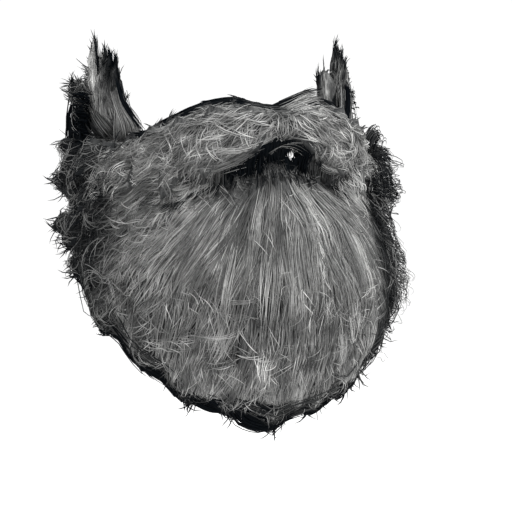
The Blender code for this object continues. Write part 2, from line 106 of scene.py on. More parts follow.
@dataclass
class Chart:
    """The hair's outside and inside, read from the model on a grid round the head axis.

    Attributes:
        axis_depth: How far behind the chin seat the head axis stands.
        first: The first angle of the grid, whose last one is as far on the other side.
        turn: The angle between two columns.
        low: The lowest row's height.
        high: The highest row's height.
        rise: The height between two rows.
        far: How far from the head axis the rays start that look for the outside.
        near: How far from it they stop.
        lock_gap: Half the widest gap between two locks that counts as hair.
        lock_top: The height under which such gaps count.
        lock_fade: How far above it the grooves are bridged less and less.
        groove: Half the widest groove between two locks that strands bridge, in columns and rows.
        farthest: The most that a distance to the edge counts as.
        edge_cells: How many cells to each side the edge is looked for.
    """

    axis_depth: float = 0.103
    first: float = -105.0
    turn: float = 1.5
    low: float = -0.129
    high: float = 0.111
    rise: float = 0.0015
    far: float = 0.20
    near: float = 0.02
    lock_gap: float = 0.006
    lock_top: float = -0.030
    lock_fade: float = 0.012
    groove: tuple[int, int] = (4, 3)
    farthest: float = 0.02
    edge_cells: int = 12

    def __post_init__(self) -> None:
        """Reads both surfaces, and how far every place lies from the hair's edge."""
        self.angles = np.arange(self.first, -self.first + 0.01, self.turn)
        self.heights = np.arange(self.low, self.high, self.rise)
        self.names = [mass.value for mass in Mass] + ["backing"]
        self._read_solids()
        self._close_gaps()
        self.edge = self._edge_distance(self.owner >= 0, False)
        self.beyond = self._edge_distance(self.owner < 0, True)
        across, up = np.gradient(self.blur(self.edge, 2))
        self.to_edge = np.arctan2(-across / (self.turn * SURFACE_PER_DEGREE), up / self.rise)

    def place(self, angle: Array, radius: Array, height: Array) -> Array:
        """Points by their angle round the head axis, their distance from it and their height."""
        turn = np.radians(angle)
        points = (radius * np.sin(turn), self.axis_depth - radius * np.cos(turn), height)
        return np.stack(np.broadcast_arrays(*points), axis=-1)

    def placed(self, angle: Array, radius: Array, height: Array, step: float = 0.01) -> tuple[Array, Array]:
        """The same points, and the way out from the head axis at each."""
        points = self.place(angle, radius, height)
        return points, unit(self.place(angle, radius + step, height) - points)

    def away(self, angle: float) -> Vector:
        """The way out from the head axis at an angle."""
        return Vector(self.place(angle, 1.0, 0.0) - self.place(angle, 0.0, 0.0))

    def angle_of(self, points: Array) -> Array:
        """The angle of each point round the head axis."""
        return np.degrees(np.arctan2(points[..., 0], self.axis_depth - points[..., 1]))

    def read(self, grid: Array, angle: Array, height: Array) -> Array:
        """A grid's values between its columns and rows.

        Args:
            grid: One value for each angle and height of the chart.
            angle: The angles to read at.
            height: The heights to read at, as many.

        Returns:
            The values there, held at the chart's borders.
        """
        column = np.clip((angle - self.first) / self.turn, 0, len(self.angles) - 1.001)
        row = np.clip((height - self.low) / self.rise, 0, len(self.heights) - 1.001)
        i, j = column.astype(int), row.astype(int)
        a, b = column - i, row - j
        return (
            grid[i, j] * (1 - a) * (1 - b)
            + grid[i + 1, j] * a * (1 - b)
            + grid[i, j + 1] * (1 - a) * b
            + grid[i + 1, j + 1] * a * b
        )

    def _read_solids(self) -> None:
        """Looks at the model's solids from outside and from the head axis."""
        points: list[Vector] = []
        corners: list[list[int]] = []
        owners: list[int] = []
        for index, name in enumerate(self.names):
            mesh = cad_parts[name].data
            start = len(points)
            points += [v.co.copy() for v in mesh.vertices]
            corners += [[start + i for i in p.vertices] for p in mesh.polygons]
            owners += [index] * len(mesh.polygons)
        solids = BVHTree.FromPolygons(points, corners)
        shape = (len(self.angles), len(self.heights))
        self.outer = np.full(shape, np.nan)
        self.inner = np.full(shape, np.nan)
        self.owner = np.full(shape, -1)
        backing = self.names.index("backing")
        for i, angle in enumerate(self.angles):
            away = self.away(angle)
            for j, height in enumerate(self.heights):
                centre = Vector(self.place(0.0, 0.0, height))
                start = centre + away * self.far
                hit, _, face, reach = solids.ray_cast(start, -away, self.far - self.near)
                if hit is None:
                    continue
                self.outer[i, j] = self.far - reach
                self.owner[i, j] = -1 if owners[face] == backing else owners[face]
                self.inner[i, j] = solids.ray_cast(centre, away, self.far)[3] or np.nan
        self.outer = self.blur(self._bridged(self.fill(self.outer)), 1)
        self.inner = self.blur(self.fill(self.inner), 1)

    @staticmethod
    def _closed(grid: Array, spots: list[tuple[int, int]], margin: int, mode: str) -> Array:
        """A grid whose dips are filled where they are narrower than a patch of cells.

        Args:
            grid: The values, or which places are marked.
            spots: The cells of the patch, from its middle.
            margin: How many cells are laid round the grid, twice the patch's reach or more.
            mode: What those cells hold, as numpy's pad takes it.

        Returns:
            The filled grid.
        """
        padded = np.pad(grid, margin, mode=mode)
        high = np.max([np.roll(padded, spot, axis=(0, 1)) for spot in spots], axis=0)
        closed = np.min([np.roll(high, spot, axis=(0, 1)) for spot in spots], axis=0)
        return closed[margin:-margin, margin:-margin]

    def _bridged(self, grid: Array) -> Array:
        """The outside with the grooves between the beard's locks filled, as the strands lie over them."""
        sides, reach = self.groove
        spots = [(i, j) for i in range(-sides, sides + 1) for j in range(-reach, reach + 1)]
        filled = self._closed(grid, spots, 2 * max(self.groove), "edge")
        share = smooth_step(self.heights, self.lock_top + self.lock_fade, self.lock_top)
        return grid + (filled - grid) * share

    def _close_gaps(self) -> None:
        """Counts the narrow gaps between the beard's locks as hair, so that strands lie over them."""
        reach = round(self.lock_gap / self.rise)
        sides = round(self.lock_gap / (self.turn * SURFACE_PER_DEGREE))
        spots = [
            (i, j)
            for i in range(-sides, sides + 1)
            for j in range(-reach, reach + 1)
            if (i / sides) ** 2 + (j / reach) ** 2 <= 1
        ]
        closed = self._closed(self.owner >= 0, spots, 2 * max(sides, reach), "constant")
        closed = closed & (self.heights < self.lock_top)
        self.owner[closed & (self.owner < 0)] = self.names.index(Mass.BEARD.value)

    @staticmethod
    def fill(grid: Array) -> Array:
        """Spreads a grid's values over the cells that have none."""
        grid = grid.copy()
        while np.isnan(grid).any():
            padded = np.pad(grid, 1, constant_values=np.nan)
            near = [
                padded[1 + i : padded.shape[0] - 1 + i, 1 + j : padded.shape[1] - 1 + j]
                for i, j in ((-1, 0), (1, 0), (0, -1), (0, 1))
            ]
            known = np.sum([~np.isnan(n) for n in near], axis=0)
            total = np.nansum(near, axis=0)
            blank = np.isnan(grid) & (known > 0)
            grid[blank] = total[blank] / known[blank]
        return grid

    @staticmethod
    def blur(grid: Array, passes: int) -> Array:
        """Softens a grid a little, as many times as asked."""
        for _ in range(passes):
            for axis in (0, 1):
                ends = np.pad(grid, [(1, 1) if k == axis else (0, 0) for k in (0, 1)], mode="edge")
                low = ends[:-2] if axis == 0 else ends[:, :-2]
                high = ends[2:] if axis == 0 else ends[:, 2:]
                grid = 0.25 * low + 0.5 * grid + 0.25 * high
        return grid

    def _edge_distance(self, hair: Array, outside: bool) -> Array:
        """How far each place that is marked lies from the nearest one that isn't.

        Args:
            hair: The marked places.
            outside: Whether what lies past the chart's borders is marked.

        Returns:
            The distances, 0 at a place that isn't marked.
        """
        reach = self.edge_cells
        found = np.full(hair.shape, self.farthest)
        padded = np.pad(hair, reach, constant_values=outside)
        for i in range(-reach, reach + 1):
            for j in range(-reach, reach + 1):
                away = math.hypot(i * self.turn * SURFACE_PER_DEGREE, j * self.rise)
                moved = padded[reach + i :, reach + j :][: hair.shape[0], : hair.shape[1]]
                found = np.where(~moved & (away < found), away, found)
        return np.where(hair, found, 0.0)


@dataclass(frozen=True)
class Stroke:
    """One stroke of the comb. heading is 0 straight down, 90 away from the middle, 180 up."""

    angle: float
    height: float
    heading: float


@dataclass(frozen=True)
class Comb:
    """Which way the hair of a mass lies, drawn by strokes that hold for both sides of the face."""

    strokes: tuple[Stroke, ...]
    nearness: float = 0.006

    def heading(self, angle: Array, height: Array) -> Array:
        """The heading at each place, between those of the strokes around it."""
        total = np.zeros_like(angle)
        weights = np.zeros_like(angle)
        for stroke in self.strokes:
            across = (np.abs(angle) - stroke.angle) * SURFACE_PER_DEGREE
            away = across**2 + (height - stroke.height) ** 2 + self.nearness**2
            weight = 1.0 / away**2
            total += weight * stroke.heading
            weights += weight
        return total / weights


# These patches serve both the hair's own tone and painted light: painted highlights and painted shade
@dataclass(frozen=True)
class ToneOrLightPatch:
    """A lighter or darker patch of the hair, by its place, its half sizes and how it changes the tone."""

    angle: float
    height: float
    wide: float
    tall: float
    gain: float

    def weight(self, angle: Array, height: Array) -> Array:
        """How much of the patch each place has."""
        across = (angle - self.angle) * SURFACE_PER_DEGREE / self.wide
        return np.exp(-(across**2) - ((height - self.height) / self.tall) ** 2)


# The slow waves by which the tone drifts: the size of each, and for its two factors how far they turn
# for a degree and for a metre, and where they start
DRIFT = (
    (1.0, (0.29, 410.0, 0.7), (0.47, -230.0, 2.1)),
    (0.7, (0.83, 190.0, 0.0), (0.31, -690.0, 0.0)),
)


@dataclass(frozen=True)
class Shading:
    """The tone of the hair all over, from 0 for black to 1 for white.

    Attributes:
        base: The tone of the middle of the mass.
        painted_shade_right: Where the flank's painted shade begins and is full on the wearer's right.
        painted_shade_left: The same on the left.
        painted_shade_top: The height above which the flank's painted shade ends.
        painted_shade_fade: How far below and above that height the change begins and ends.
        painted_shade_side: The angle past which the hair is darkened as painted shade at any height.
        side_fade: Over how many degrees it turns dark there.
        painted_shade_tone: The painted shade's tone on the jaw's sides turned from the light, as a share of
            the base.
        edge_reach: How far in from the edge the dark rim goes.
        edge_tone: The rim's tone, as a share of the base.
        mottle: How far the tone drifts from place to place.
        tone_and_light_patches: The lighter and darker patches, of the hair's own tone and of painted
            highlight and shade.
    """

    base: float
    painted_shade_right: tuple[float, float] = (-44.0, -58.0)
    painted_shade_left: tuple[float, float] = (30.0, 39.0)
    painted_shade_top: float = 0.040
    painted_shade_fade: tuple[float, float] = (0.006, 0.010)
    painted_shade_side: float = 64.0
    side_fade: float = 10.0
    painted_shade_tone: float = 0.09
    edge_reach: float = 0.0065
    edge_tone: float = 0.05
    mottle: float = 0.38
    tone_and_light_patches: tuple[ToneOrLightPatch, ...] = ()

    def tone(self, chart: Chart, angle: Array, height: Array) -> Array:
        """The tone at each place of the chart."""
        # The sides of the jaw turned from the light, and its far side, are darkened: painted shade
        painted_shade = np.maximum(smooth_step(angle, *self.painted_shade_right), smooth_step(angle, *self.painted_shade_left))
        below, above = self.painted_shade_fade
        painted_shade = painted_shade * smooth_step(height, self.painted_shade_top + above, self.painted_shade_top - below)
        side = smooth_step(np.abs(angle), self.painted_shade_side, self.painted_shade_side + self.side_fade)
        tone = self.base * (1.0 - (1.0 - self.painted_shade_tone) * np.maximum(painted_shade, side))
        edge = smooth_step(chart.read(chart.edge, angle, height), 0.0, self.edge_reach)
        tone = tone * (self.edge_tone + (1.0 - self.edge_tone) * edge)
        drift = sum(
            math.prod((np.sin(turn * angle + rise * height + at) for turn, rise, at in pair), start=size)
            for size, *pair in DRIFT
        )
        tone = tone * (1.0 + self.mottle * drift)
        # The patches: the hair's own tone, painted highlights and painted shade
        for patch in self.tone_and_light_patches:
            tone = tone * (1.0 + (patch.gain - 1.0) * patch.weight(angle, height))
        return tone


@dataclass(frozen=True)
class Coat:
    """One coat of strands.

    Attributes:
        mass: The mass that it roots on.
        count: How many strands it has.
        wisp: How many strands draw together into one wisp.
        length: The shortest and longest strand.
        width: A strand's width at its thickest.
        lift: How far the root, the middle and the tip stand off the hair's surface.
        tone: The darkest and the lightest wisp, as shares of the place's tone.
        lie: Which way its strands start.
        face: Which face of the hair it lies on.
        spread: By how many degrees the wisps' headings differ.
        turn: By how many degrees a wisp bends along its length.
        gather: How far a wisp's strands draw together at the tip.
        loose: How far its strands root from the wisp's middle.
        wave: How far a strand waves to each side.
        root_tone: The root's tone, as a share of the strand's.
        angles: The first and last angle where it roots.
        heights: The lowest and highest place where it roots.
        edge: How near to the hair's edge and how far in from it it roots.
        overhang: How far it may run past the hair's edge.
        floor: A tone that no strand goes under.
        inward: How far from outwards the faces that a pelt covers may look, with -1 for straight inwards.
        rings: How many sections a strand has.
    """

    mass: Mass
    count: int
    wisp: int = 12
    length: tuple[float, float] = (0.018, 0.034)
    width: float = 0.00050
    lift: tuple[float, float, float] = (-0.0004, 0.0012, 0.0006)
    tone: tuple[float, float] = (0.40, 1.60)
    lie: Lie = Lie.COMBED
    face: Face = Face.OUTSIDE
    spread: float = 9.0
    turn: float = 14.0
    gather: float = 0.6
    loose: float = 0.0032
    wave: float = 0.0003
    root_tone: float = 0.5
    angles: tuple[float, float] = (-105.0, 105.0)
    heights: tuple[float, float] = (-0.13, 0.12)
    edge: tuple[float, float] = (0.0, 1.0)
    overhang: float = 0.0015
    floor: float = 0.0
    inward: float = -0.75
    rings: int = 5


@dataclass(frozen=True)
class Wisp:
    """One wisp drawn over the hair.

    Attributes:
        path: The angle and height of the places that it runs through.
        count: How many strands it has.
        loose: How far they lie from each other.
        lift: How far it stands off the hair.
        tone: The darkest and lightest strand.
        width: A strand's width.
        radius: How far from the head axis it lies at each place, where it doesn't follow the hair.
        rings: How many sections a strand has.
    """

    path: tuple[tuple[float, float], ...]
    count: int = 10
    loose: float = 0.0009
    lift: float = 0.0022
    tone: tuple[float, float] = (0.30, 0.75)
    width: float = 0.00045
    radius: tuple[float, ...] = ()
    rings: int = 8

    def along(self, *path: tuple[float, float], **changes: object) -> "Wisp":
        """A wisp with the same looks, or some of them changed, on another path."""
        return replace(self, path=path, **changes)


@dataclass(frozen=True)
class Outline:
    """Dark wisps that overlap along the top or the foot of the hair.

    Attributes:
        first: The angle where it begins.
        last: The angle where it ends.
        top: Whether it follows the top.
        inset: How far in from the edge it lies.
        look: The looks of its wisps.
        span: How many degrees each wisp covers.
        step: How many degrees there are between two of them.
        places: How many places each wisp runs through.
    """

    first: float
    last: float
    top: bool
    inset: float
    look: Wisp
    span: float = 20.0
    step: float = 6.0
    places: int = 6

    def wisps(self, chart: Chart) -> tuple[Wisp, ...]:
        """The wisps, along the edge as the chart has it."""
        outside = -1.0 if self.top else 1.0
        rows = np.where(chart.owner >= 0, chart.heights, outside)
        edge = rows.max(axis=1) - self.inset if self.top else rows.min(axis=1) + self.inset
        made = []
        past_last = self.last - self.span + 0.1
        for start in np.arange(self.first, past_last, self.step):
            angles = np.linspace(start, start + self.span, self.places)
            heights = np.interp(angles, chart.angles, edge)
            made.append(self.look.along(*zip(angles.tolist(), heights.tolist())))
        return tuple(made)


@dataclass
class Strands:
    """The strands of a coat, ready to be made a mesh: middles, ways out, widths and tones."""

    middle: Array
    out: Array
    width: Array
    tone: Array


@dataclass
class Dresser:
    """Lays coats of strands on the chart.

    Attributes:
        chart: The model's surfaces.
        steepest: The most that a strand falls inwards for each step along the surface.
        steep_step: The longest step that counts for that.
        least_share: The share of its length under which a strand is left out.
        backing_foot: The height above which the backing lies under the hair.
        backing_depth: How far a strand may sink into it.
        backing_rim: How near to the hair's edge it may sink deeper.
        facing: A pelt covers the faces that look outwards less than this.
        splay: How far a pelt's strands lean outwards.
        vary: The least and most of its coat's width and tone that a strand has.
        lift_share: The same of its coat's lift, for a wisp.
        drawn_share: The same of its wisp's lift, for a drawn strand.
        length_share: The same of its wisp's length, for a strand.
        overhang_share: The same of its coat's overhang, for a strand.
        cut: How many sections before the first one past its overhang a strand ends.
        straight: The share of its length where a bent strand has its own heading.
        least_radius: The least distance from the head axis that its turns are worked out with.
        own_way: How far a strand departs from its wisp, as a share of how far the wisps differ.
        wave_turn: The least and most that a strand's wave turns along it, in radians.
        wave_start: Where the wave starts, in radians.
        wave_up: How far a strand waves up and down, as a share of how far it does sideways.
        root_reach: The share of a strand over which its root's tone ends.
        ends: Where a drawn wisp's strands begin at the latest and end at the earliest.
        uneven: How far strands differ in how far they stand off.
    """

    chart: Chart
    steepest: float = 0.9
    steep_step: float = 0.006
    least_share: float = 0.1
    backing_foot: float = -0.020
    backing_depth: float = 0.0010
    backing_rim: float = 0.0005
    facing: float = 0.62
    splay: float = 0.02
    vary: tuple[float, float] = (0.75, 1.25)
    lift_share: tuple[float, float] = (0.3, 1.7)
    drawn_share: tuple[float, float] = (0.4, 1.2)
    length_share: tuple[float, float] = (0.78, 1.12)
    overhang_share: tuple[float, float] = (0.2, 1.0)
    cut: float = 0.85
    straight: float = 0.25
    least_radius: float = 0.03
    own_way: float = 0.35
    wave_turn: tuple[float, float] = (3.0, 8.0)
    wave_start: tuple[float, float] = (0.0, 6.28)
    wave_up: float = 0.4
    root_reach: float = 0.35
    ends: tuple[float, float] = (0.18, 0.82)
    uneven: float = 0.00025

    def outside(self, strands: Strands) -> Strands:
        """The strands that don't come through the backing."""
        chart, middle = self.chart, strands.middle
        angle, height = chart.angle_of(middle), middle[..., 2]
        radius = np.hypot(middle[..., 0], chart.axis_depth - middle[..., 1])
        sunk = chart.read(chart.inner, angle, height) - radius > self.backing_depth
        over = (height > self.backing_foot) & (chart.read(chart.edge, angle, height) > self.backing_rim)
        kept = ~(sunk & over).any(axis=1)
        return Strands(middle[kept], strands.out[kept], strands.width[kept], strands.tone[kept])

    def lay(self, coat: Coat, comb: Comb, shading: Shading, seed: int) -> Strands:
        """Grows every strand of a coat.

        Args:
            coat: What the strands are like and where they root.
            comb: Which way they lie.
            shading: The tone of the hair where they pass.
            seed: What its random numbers start from.

        Returns:
            The strands.
        """
        chance = np.random.default_rng(seed)
        wisps = max(1, coat.count // coat.wisp)
        count = wisps * coat.wisp
        own = np.repeat(np.arange(wisps), coat.wisp)
        angle, height = self._roots(coat, wisps, chance)
        heading = chance.normal(0.0, coat.spread, wisps)
        bend = chance.normal(0.0, coat.turn, wisps)
        length = chance.uniform(*coat.length, wisps)
        lift = chance.uniform(*self.lift_share, wisps)
        shade = chance.uniform(0.0, 1.0, wisps) ** 1.3

        middles = self._run(coat, comb, angle, height, heading, bend, length)
        length = length * self._within(coat, middles, chance)
        middles = self._run(coat, comb, angle, height, heading, bend, length)
        away = chance.normal(0.0, coat.loose, (2, count))
        angle, height = angle[own] + away[0] / SURFACE_PER_DEGREE, height[own] + away[1]
        length = length[own] * chance.uniform(*self.length_share, count)
        heading = heading[own] + chance.normal(0.0, coat.spread * self.own_way, count)
        bend = bend[own] + chance.normal(0.0, coat.turn * self.own_way, count)
        share = self._within(coat, self._run(coat, comb, angle, height, heading, bend, length), chance)
        kept = share > self.least_share
        own, count = own[kept], int(kept.sum())
        starts = (values[kept] for values in (angle, height, heading, bend, length * share))
        lines = self._run(coat, comb, *starts)

        along = np.linspace(0.0, 1.0, coat.rings + 1)
        lines = lines + (middles[:, own] - lines) * (coat.gather * along**1.4)
        turn = along * chance.uniform(*self.wave_turn, (count, 1))
        wave = np.sin(turn + chance.uniform(*self.wave_start, (count, 1)))
        lines[0] += wave * along * coat.wave / SURFACE_PER_DEGREE
        lines[1] += np.roll(wave, 1, axis=0) * along * coat.wave * self.wave_up

        radius = self._radius(coat, lines, along, lift[own], chance)
        middle, out = self.chart.placed(lines[0], radius, lines[1])
        tone = shading.tone(self.chart, lines[0], lines[1])
        tone = tone * (coat.tone[0] + (coat.tone[1] - coat.tone[0]) * shade[own])[:, None]
        tone = tone * chance.uniform(*self.vary, (count, 1))
        tone = tone * (coat.root_tone + (1.0 - coat.root_tone) * smooth_step(along, 0.0, self.root_reach))
        width = coat.width * chance.uniform(*self.vary, count)
        return Strands(middle, out, width, np.clip(np.maximum(tone, coat.floor), 0.0, 1.0))

    def _roots(self, coat: Coat, wisps: int, chance: np.random.Generator) -> tuple[Array, Array]:
        """Picks where the wisps root, evenly over what the coat covers."""
        chart = self.chart
        angles, heights = np.meshgrid(chart.angles, chart.heights, indexing="ij")
        open_to = chart.owner == chart.names.index(coat.mass.value)
        open_to &= (angles >= coat.angles[0]) & (angles <= coat.angles[1])
        open_to &= (heights >= coat.heights[0]) & (heights <= coat.heights[1])
        open_to &= (chart.edge >= coat.edge[0]) & (chart.edge <= coat.edge[1])
        cells = np.flatnonzero(open_to)
        share = chart.outer.ravel()[cells]
        picked = chance.choice(cells, wisps, p=share / share.sum())
        angle = angles.ravel()[picked] + chance.uniform(-0.5, 0.5, wisps) * chart.turn
        return angle, heights.ravel()[picked] + chance.uniform(-0.5, 0.5, wisps) * chart.rise

    def _run(
        self, coat: Coat, comb: Comb, angle: Array, height: Array, heading: Array, bend: Array, length: Array
    ) -> Array:
        """Follows the hair from its roots.

        Args:
            coat: The coat, for how its strands start and how many sections they have.
            comb: Which way combed hair lies.
            angle: The roots' angles.
            height: The roots' heights.
            heading: How far each strand departs from the way that it starts.
            bend: How far it bends along its length.
            length: Its length.

        Returns:
            The angles and the heights of every section, the tip last.
        """
        chart = self.chart
        side = np.where(angle < 0, -1.0, 1.0)
        edge_way = chart.read(np.cos(chart.to_edge), angle, height)
        edge_across = chart.read(np.sin(chart.to_edge), angle, height)
        toward = np.degrees(np.arctan2(edge_across, edge_way)) * side
        places = [np.stack([angle, height])]
        for step in range(coat.rings):
            share = step / coat.rings
            now_angle, now_height = places[-1]
            if coat.lie is Lie.COMBED:
                way = comb.heading(now_angle, now_height)
            else:
                way = toward + (90.0 if coat.lie is Lie.ALONG else 0.0)
            way = np.radians(way + heading + bend * (share - self.straight))
            reach = length / coat.rings
            radius = chart.read(chart.outer, now_angle, now_height)
            turned = np.degrees(reach * np.sin(way) / np.maximum(radius, self.least_radius))
            places.append(np.stack([now_angle + side * turned, now_height - reach * np.cos(way)]))
        return np.stack(places, axis=-1)

    def _within(self, coat: Coat, lines: Array, chance: np.random.Generator) -> Array:
        """The share of each strand that stays on the hair or within its overhang."""
        past = self.chart.read(self.chart.beyond, lines[0], lines[1])
        allowed = coat.overhang * chance.uniform(*self.overhang_share, (past.shape[0], 1))
        out = past > allowed
        first = np.where(out.any(axis=1), out.argmax(axis=1), coat.rings + self.cut)
        return np.clip((first - self.cut) / coat.rings, self.least_share, 1.0)

    def draw(self, wisp: Wisp, seed: int) -> Strands:
        """Lays a drawn wisp on the hair.

        Args:
            wisp: The wisp.
            seed: What its random numbers start from.

        Returns:
            Its strands.
        """
        chance = np.random.default_rng(seed)
        each = (wisp.count, 1)
        given = np.array(wisp.path)
        at = np.linspace(0.0, 1.0, len(given))
        along = np.linspace(0.0, 1.0, wisp.rings + 1)
        start = chance.uniform(0.0, self.ends[0], each)
        places = start + (chance.uniform(self.ends[1], 1.0, each) - start) * along
        line = np.stack([self._smooth(given[:, k], at, places) for k in (0, 1)])
        line[0] += chance.normal(0.0, wisp.loose, each) / SURFACE_PER_DEGREE
        line[1] += chance.normal(0.0, wisp.loose, each)
        line[0] += chance.normal(0.0, wisp.loose, each) / SURFACE_PER_DEGREE * (along - 0.5)
        # It stands off most in its middle, and little at its root and its tip
        rise = np.sin(math.pi * (0.12 + 0.8 * along))
        lift = wisp.lift * chance.uniform(*self.drawn_share, each) * rise
        if wisp.radius:
            radius = self._smooth(np.array(wisp.radius), at, places)
            radius = radius + chance.normal(0.0, wisp.loose, each)
        else:
            radius = self.chart.read(self.chart.outer, line[0], line[1])
        for _ in range(2):
            radius[:, 1:-1] = (radius[:, :-2] + 2 * radius[:, 1:-1] + radius[:, 2:]) / 4
        middle, out = self.chart.placed(line[0], radius + lift, line[1])
        # Its ends are darker than its middle
        tone = chance.uniform(*wisp.tone, each) * (0.55 + 0.45 * np.sin(math.pi * along))
        width = wisp.width * chance.uniform(*self.vary, wisp.count)
        return Strands(middle, out, width, np.clip(tone, 0.0, 1.0))

    @staticmethod
    def _smooth(values: Array, at: Array, places: Array, steps: int = 16) -> Array:
        """A smooth curve through values.

        Args:
            values: The values.
            at: Where each of them stands.
            places: Where the curve is read.
            steps: How many short straight runs it has between two values.

        Returns:
            The curve's value at each place.
        """
        fine = np.linspace(0.0, 1.0, steps * (len(values) - 1) + 1)
        curve = np.interp(fine, at, values)
        kernel = np.hanning(steps + 1)
        half = steps // 2
        before, after = curve[half:0:-1], curve[-2 : -2 - half : -1]
        padded = np.concatenate([2 * curve[0] - before, curve, 2 * curve[-1] - after])
        return np.interp(places, fine, np.convolve(padded, kernel / kernel.sum(), mode="valid"))

    def pelt(self, coat: Coat, comb: Comb, shading: Shading, seed: int) -> Strands:
        """Covers the faces of a mass that look sideways, back or down, which lay() can't reach.

        Args:
            coat: What the strands are like.
            comb: Which way they lie.
            shading: The tone of the hair where they pass.
            seed: What its random numbers start from.

        Returns:
            The strands.
        """
        chance = np.random.default_rng(seed)
        root, normal, radial = self._pelt_roots(coat, chance)
        each = (coat.count, 1)
        angle = self.chart.angle_of(root)
        side = np.where(angle < 0, -1.0, 1.0)
        way = np.radians(comb.heading(angle, root[:, 2]) + chance.normal(0.0, coat.spread, coat.count))
        around = np.stack([-radial[:, 1], radial[:, 0], np.zeros(coat.count)], axis=1) * side[:, None]
        ahead = around * np.sin(way)[:, None] - np.array([0.0, 0.0, 1.0]) * np.cos(way)[:, None]
        ahead = ahead - normal * (ahead * normal).sum(axis=1, keepdims=True)
        ahead = unit(ahead + radial * self.splay)
        across = np.cross(normal, ahead)
        length = chance.uniform(*coat.length, coat.count)
        along = np.linspace(0.0, 1.0, coat.rings + 1)[None, :, None]
        bend = np.radians(chance.normal(0.0, coat.turn, coat.count))[:, None, None]
        sweep = length[:, None, None] * along
        line = ahead[:, None] * sweep * np.cos(bend * along) + across[:, None] * sweep * np.sin(bend * along)
        rise = coat.lift[0] * (1 - along) + coat.lift[1] * 4 * along * (1 - along) + coat.lift[2] * along
        middle = root[:, None] + line + normal[:, None] * rise
        tone = shading.tone(self.chart, np.repeat(angle[:, None], coat.rings + 1, 1), middle[:, :, 2])
        shade = coat.tone[0] + (coat.tone[1] - coat.tone[0]) * chance.uniform(0, 1, each) ** 1.5
        out = np.broadcast_to(normal[:, None], middle.shape)
        width = coat.width * chance.uniform(*self.vary, coat.count)
        return Strands(middle, out, width, np.clip(tone * shade, coat.floor, 1.0))

    def _pelt_roots(self, coat: Coat, chance: np.random.Generator) -> tuple[Array, Array, Array]:
        """Picks where a pelt's strands root on the model's own faces.

        Args:
            coat: What the strands are like, and which faces they cover.
            chance: Its random numbers.

        Returns:
            The roots, the way each root's face looks, and the way out from the head axis.
        """
        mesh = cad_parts[coat.mass.value].data
        spots = np.array([v.co for v in mesh.vertices])
        corners = spots[np.array([p.vertices[:] for p in mesh.polygons])]
        cross = np.cross(corners[:, 1] - corners[:, 0], corners[:, 2] - corners[:, 0])
        area = np.linalg.norm(cross, axis=1) / 2
        normals = unit(cross)
        centre = corners.mean(axis=1)
        radial = unit(centre * (1, 1, 0) - np.array([0.0, self.chart.axis_depth, 0.0]))
        outward = (normals * radial).sum(axis=1)
        turned = self.chart.angle_of(centre)
        fits = (outward < self.facing) & (outward > coat.inward)
        fits &= (turned >= coat.angles[0]) & (turned <= coat.angles[1])
        fits &= (centre[:, 2] >= coat.heights[0]) & (centre[:, 2] <= coat.heights[1])
        chosen = chance.choice(len(area), coat.count, p=np.where(fits, area, 0) / area[fits].sum())
        first, second = np.sqrt(chance.uniform(0, 1, (coat.count, 1))), chance.uniform(0, 1, (coat.count, 1))
        a, b, c = corners[chosen, 0], corners[chosen, 1], corners[chosen, 2]
        root = a * (1 - first) + b * first * (1 - second) + c * first * second
        return root, normals[chosen], radial[chosen]

    def _radius(
        self, coat: Coat, lines: Array, along: Array, lift: Array, chance: np.random.Generator
    ) -> Array:
        """How far from the head axis every section lies."""
        root, middle, tip = coat.lift
        stand = root * (1 - along) * (1 - 2 * along) + 4 * middle * along * (1 - along)
        stand = stand + tip * along * (2 * along - 1)
        stand = stand * np.where(stand > 0, lift[:, None], 1.0)
        stand = stand + chance.normal(0.0, self.uneven, (len(lift), 1)) * along
        if coat.face is Face.INSIDE:
            return self.chart.read(self.chart.inner, lines[0], lines[1]) - stand
        outer = self.chart.read(self.chart.outer, lines[0], lines[1])
        reach = np.linalg.norm(np.diff(self.chart.place(lines[0], outer, lines[1]), axis=1), axis=-1)
        for section in range(1, outer.shape[1]):
            least = outer[:, section - 1] - self.steepest * np.minimum(reach[:, section - 1], self.steep_step)
            outer[:, section] = np.maximum(outer[:, section], least)
        return outer + stand


SIDES = 3  # of a strand's section
THICKNESS = 0.8  # of a strand, as a share of its width
TAPER = (0.75, 0.9, -1.35)  # its width at the root, and how that changes with the share and its square
ROOT_ROW = 0.6  # how much of a section's height the root's face has in the strand's map
SIDE_GAP = 0.08  # between two sides in that map, as a share of a side
CELL_MARGIN = 0.06  # round the strand's map in its cell


def strand_faces(rings: int) -> tuple[list[tuple[int, ...]], list[list[tuple[float, float]]]]:
    """The faces of one strand, and where they lie in its cell of the map that the patterns are kept on.

    Args:
        rings: How many sections it has before its tip.

    Returns:
        The corners of each face, and their places from 0 to 1.
    """
    tip = rings * SIDES
    # The root's face, which lies under the others in the map
    faces: list[tuple[int, ...]] = [(2, 1, 0)]
    spots = [[(0.1, 0.0), (0.5, 0.06), (0.9, 0.0)]]
    for ring in range(rings):
        low, high = (ring + ROOT_ROW) / (rings + 1), (ring + 1 + ROOT_ROW) / (rings + 1)
        for k in range(SIDES):
            a, b = ring * SIDES + k, ring * SIDES + (k + 1) % SIDES
            left, right = (k + SIDE_GAP) / SIDES, (k + 1 - SIDE_GAP) / SIDES
            if ring < rings - 1:
                faces.append((a, b, b + SIDES, a + SIDES))
                spots.append([(left, low), (right, low), (right, high), (left, high)])
            else:
                faces.append((a, b, tip))
                spots.append([(left, low), (right, low), ((left + right) / 2, min(high, 1.0))])
    return faces, spots


def set_tone(mesh: bpy.types.Mesh, tones: Array) -> None:
    """Keeps the tone of the hair at every point of a mesh, where its material finds it."""
    layer = mesh.attributes.new("tone", "FLOAT", "POINT")
    layer.data.foreach_set("value", tones.astype(np.float32).ravel())


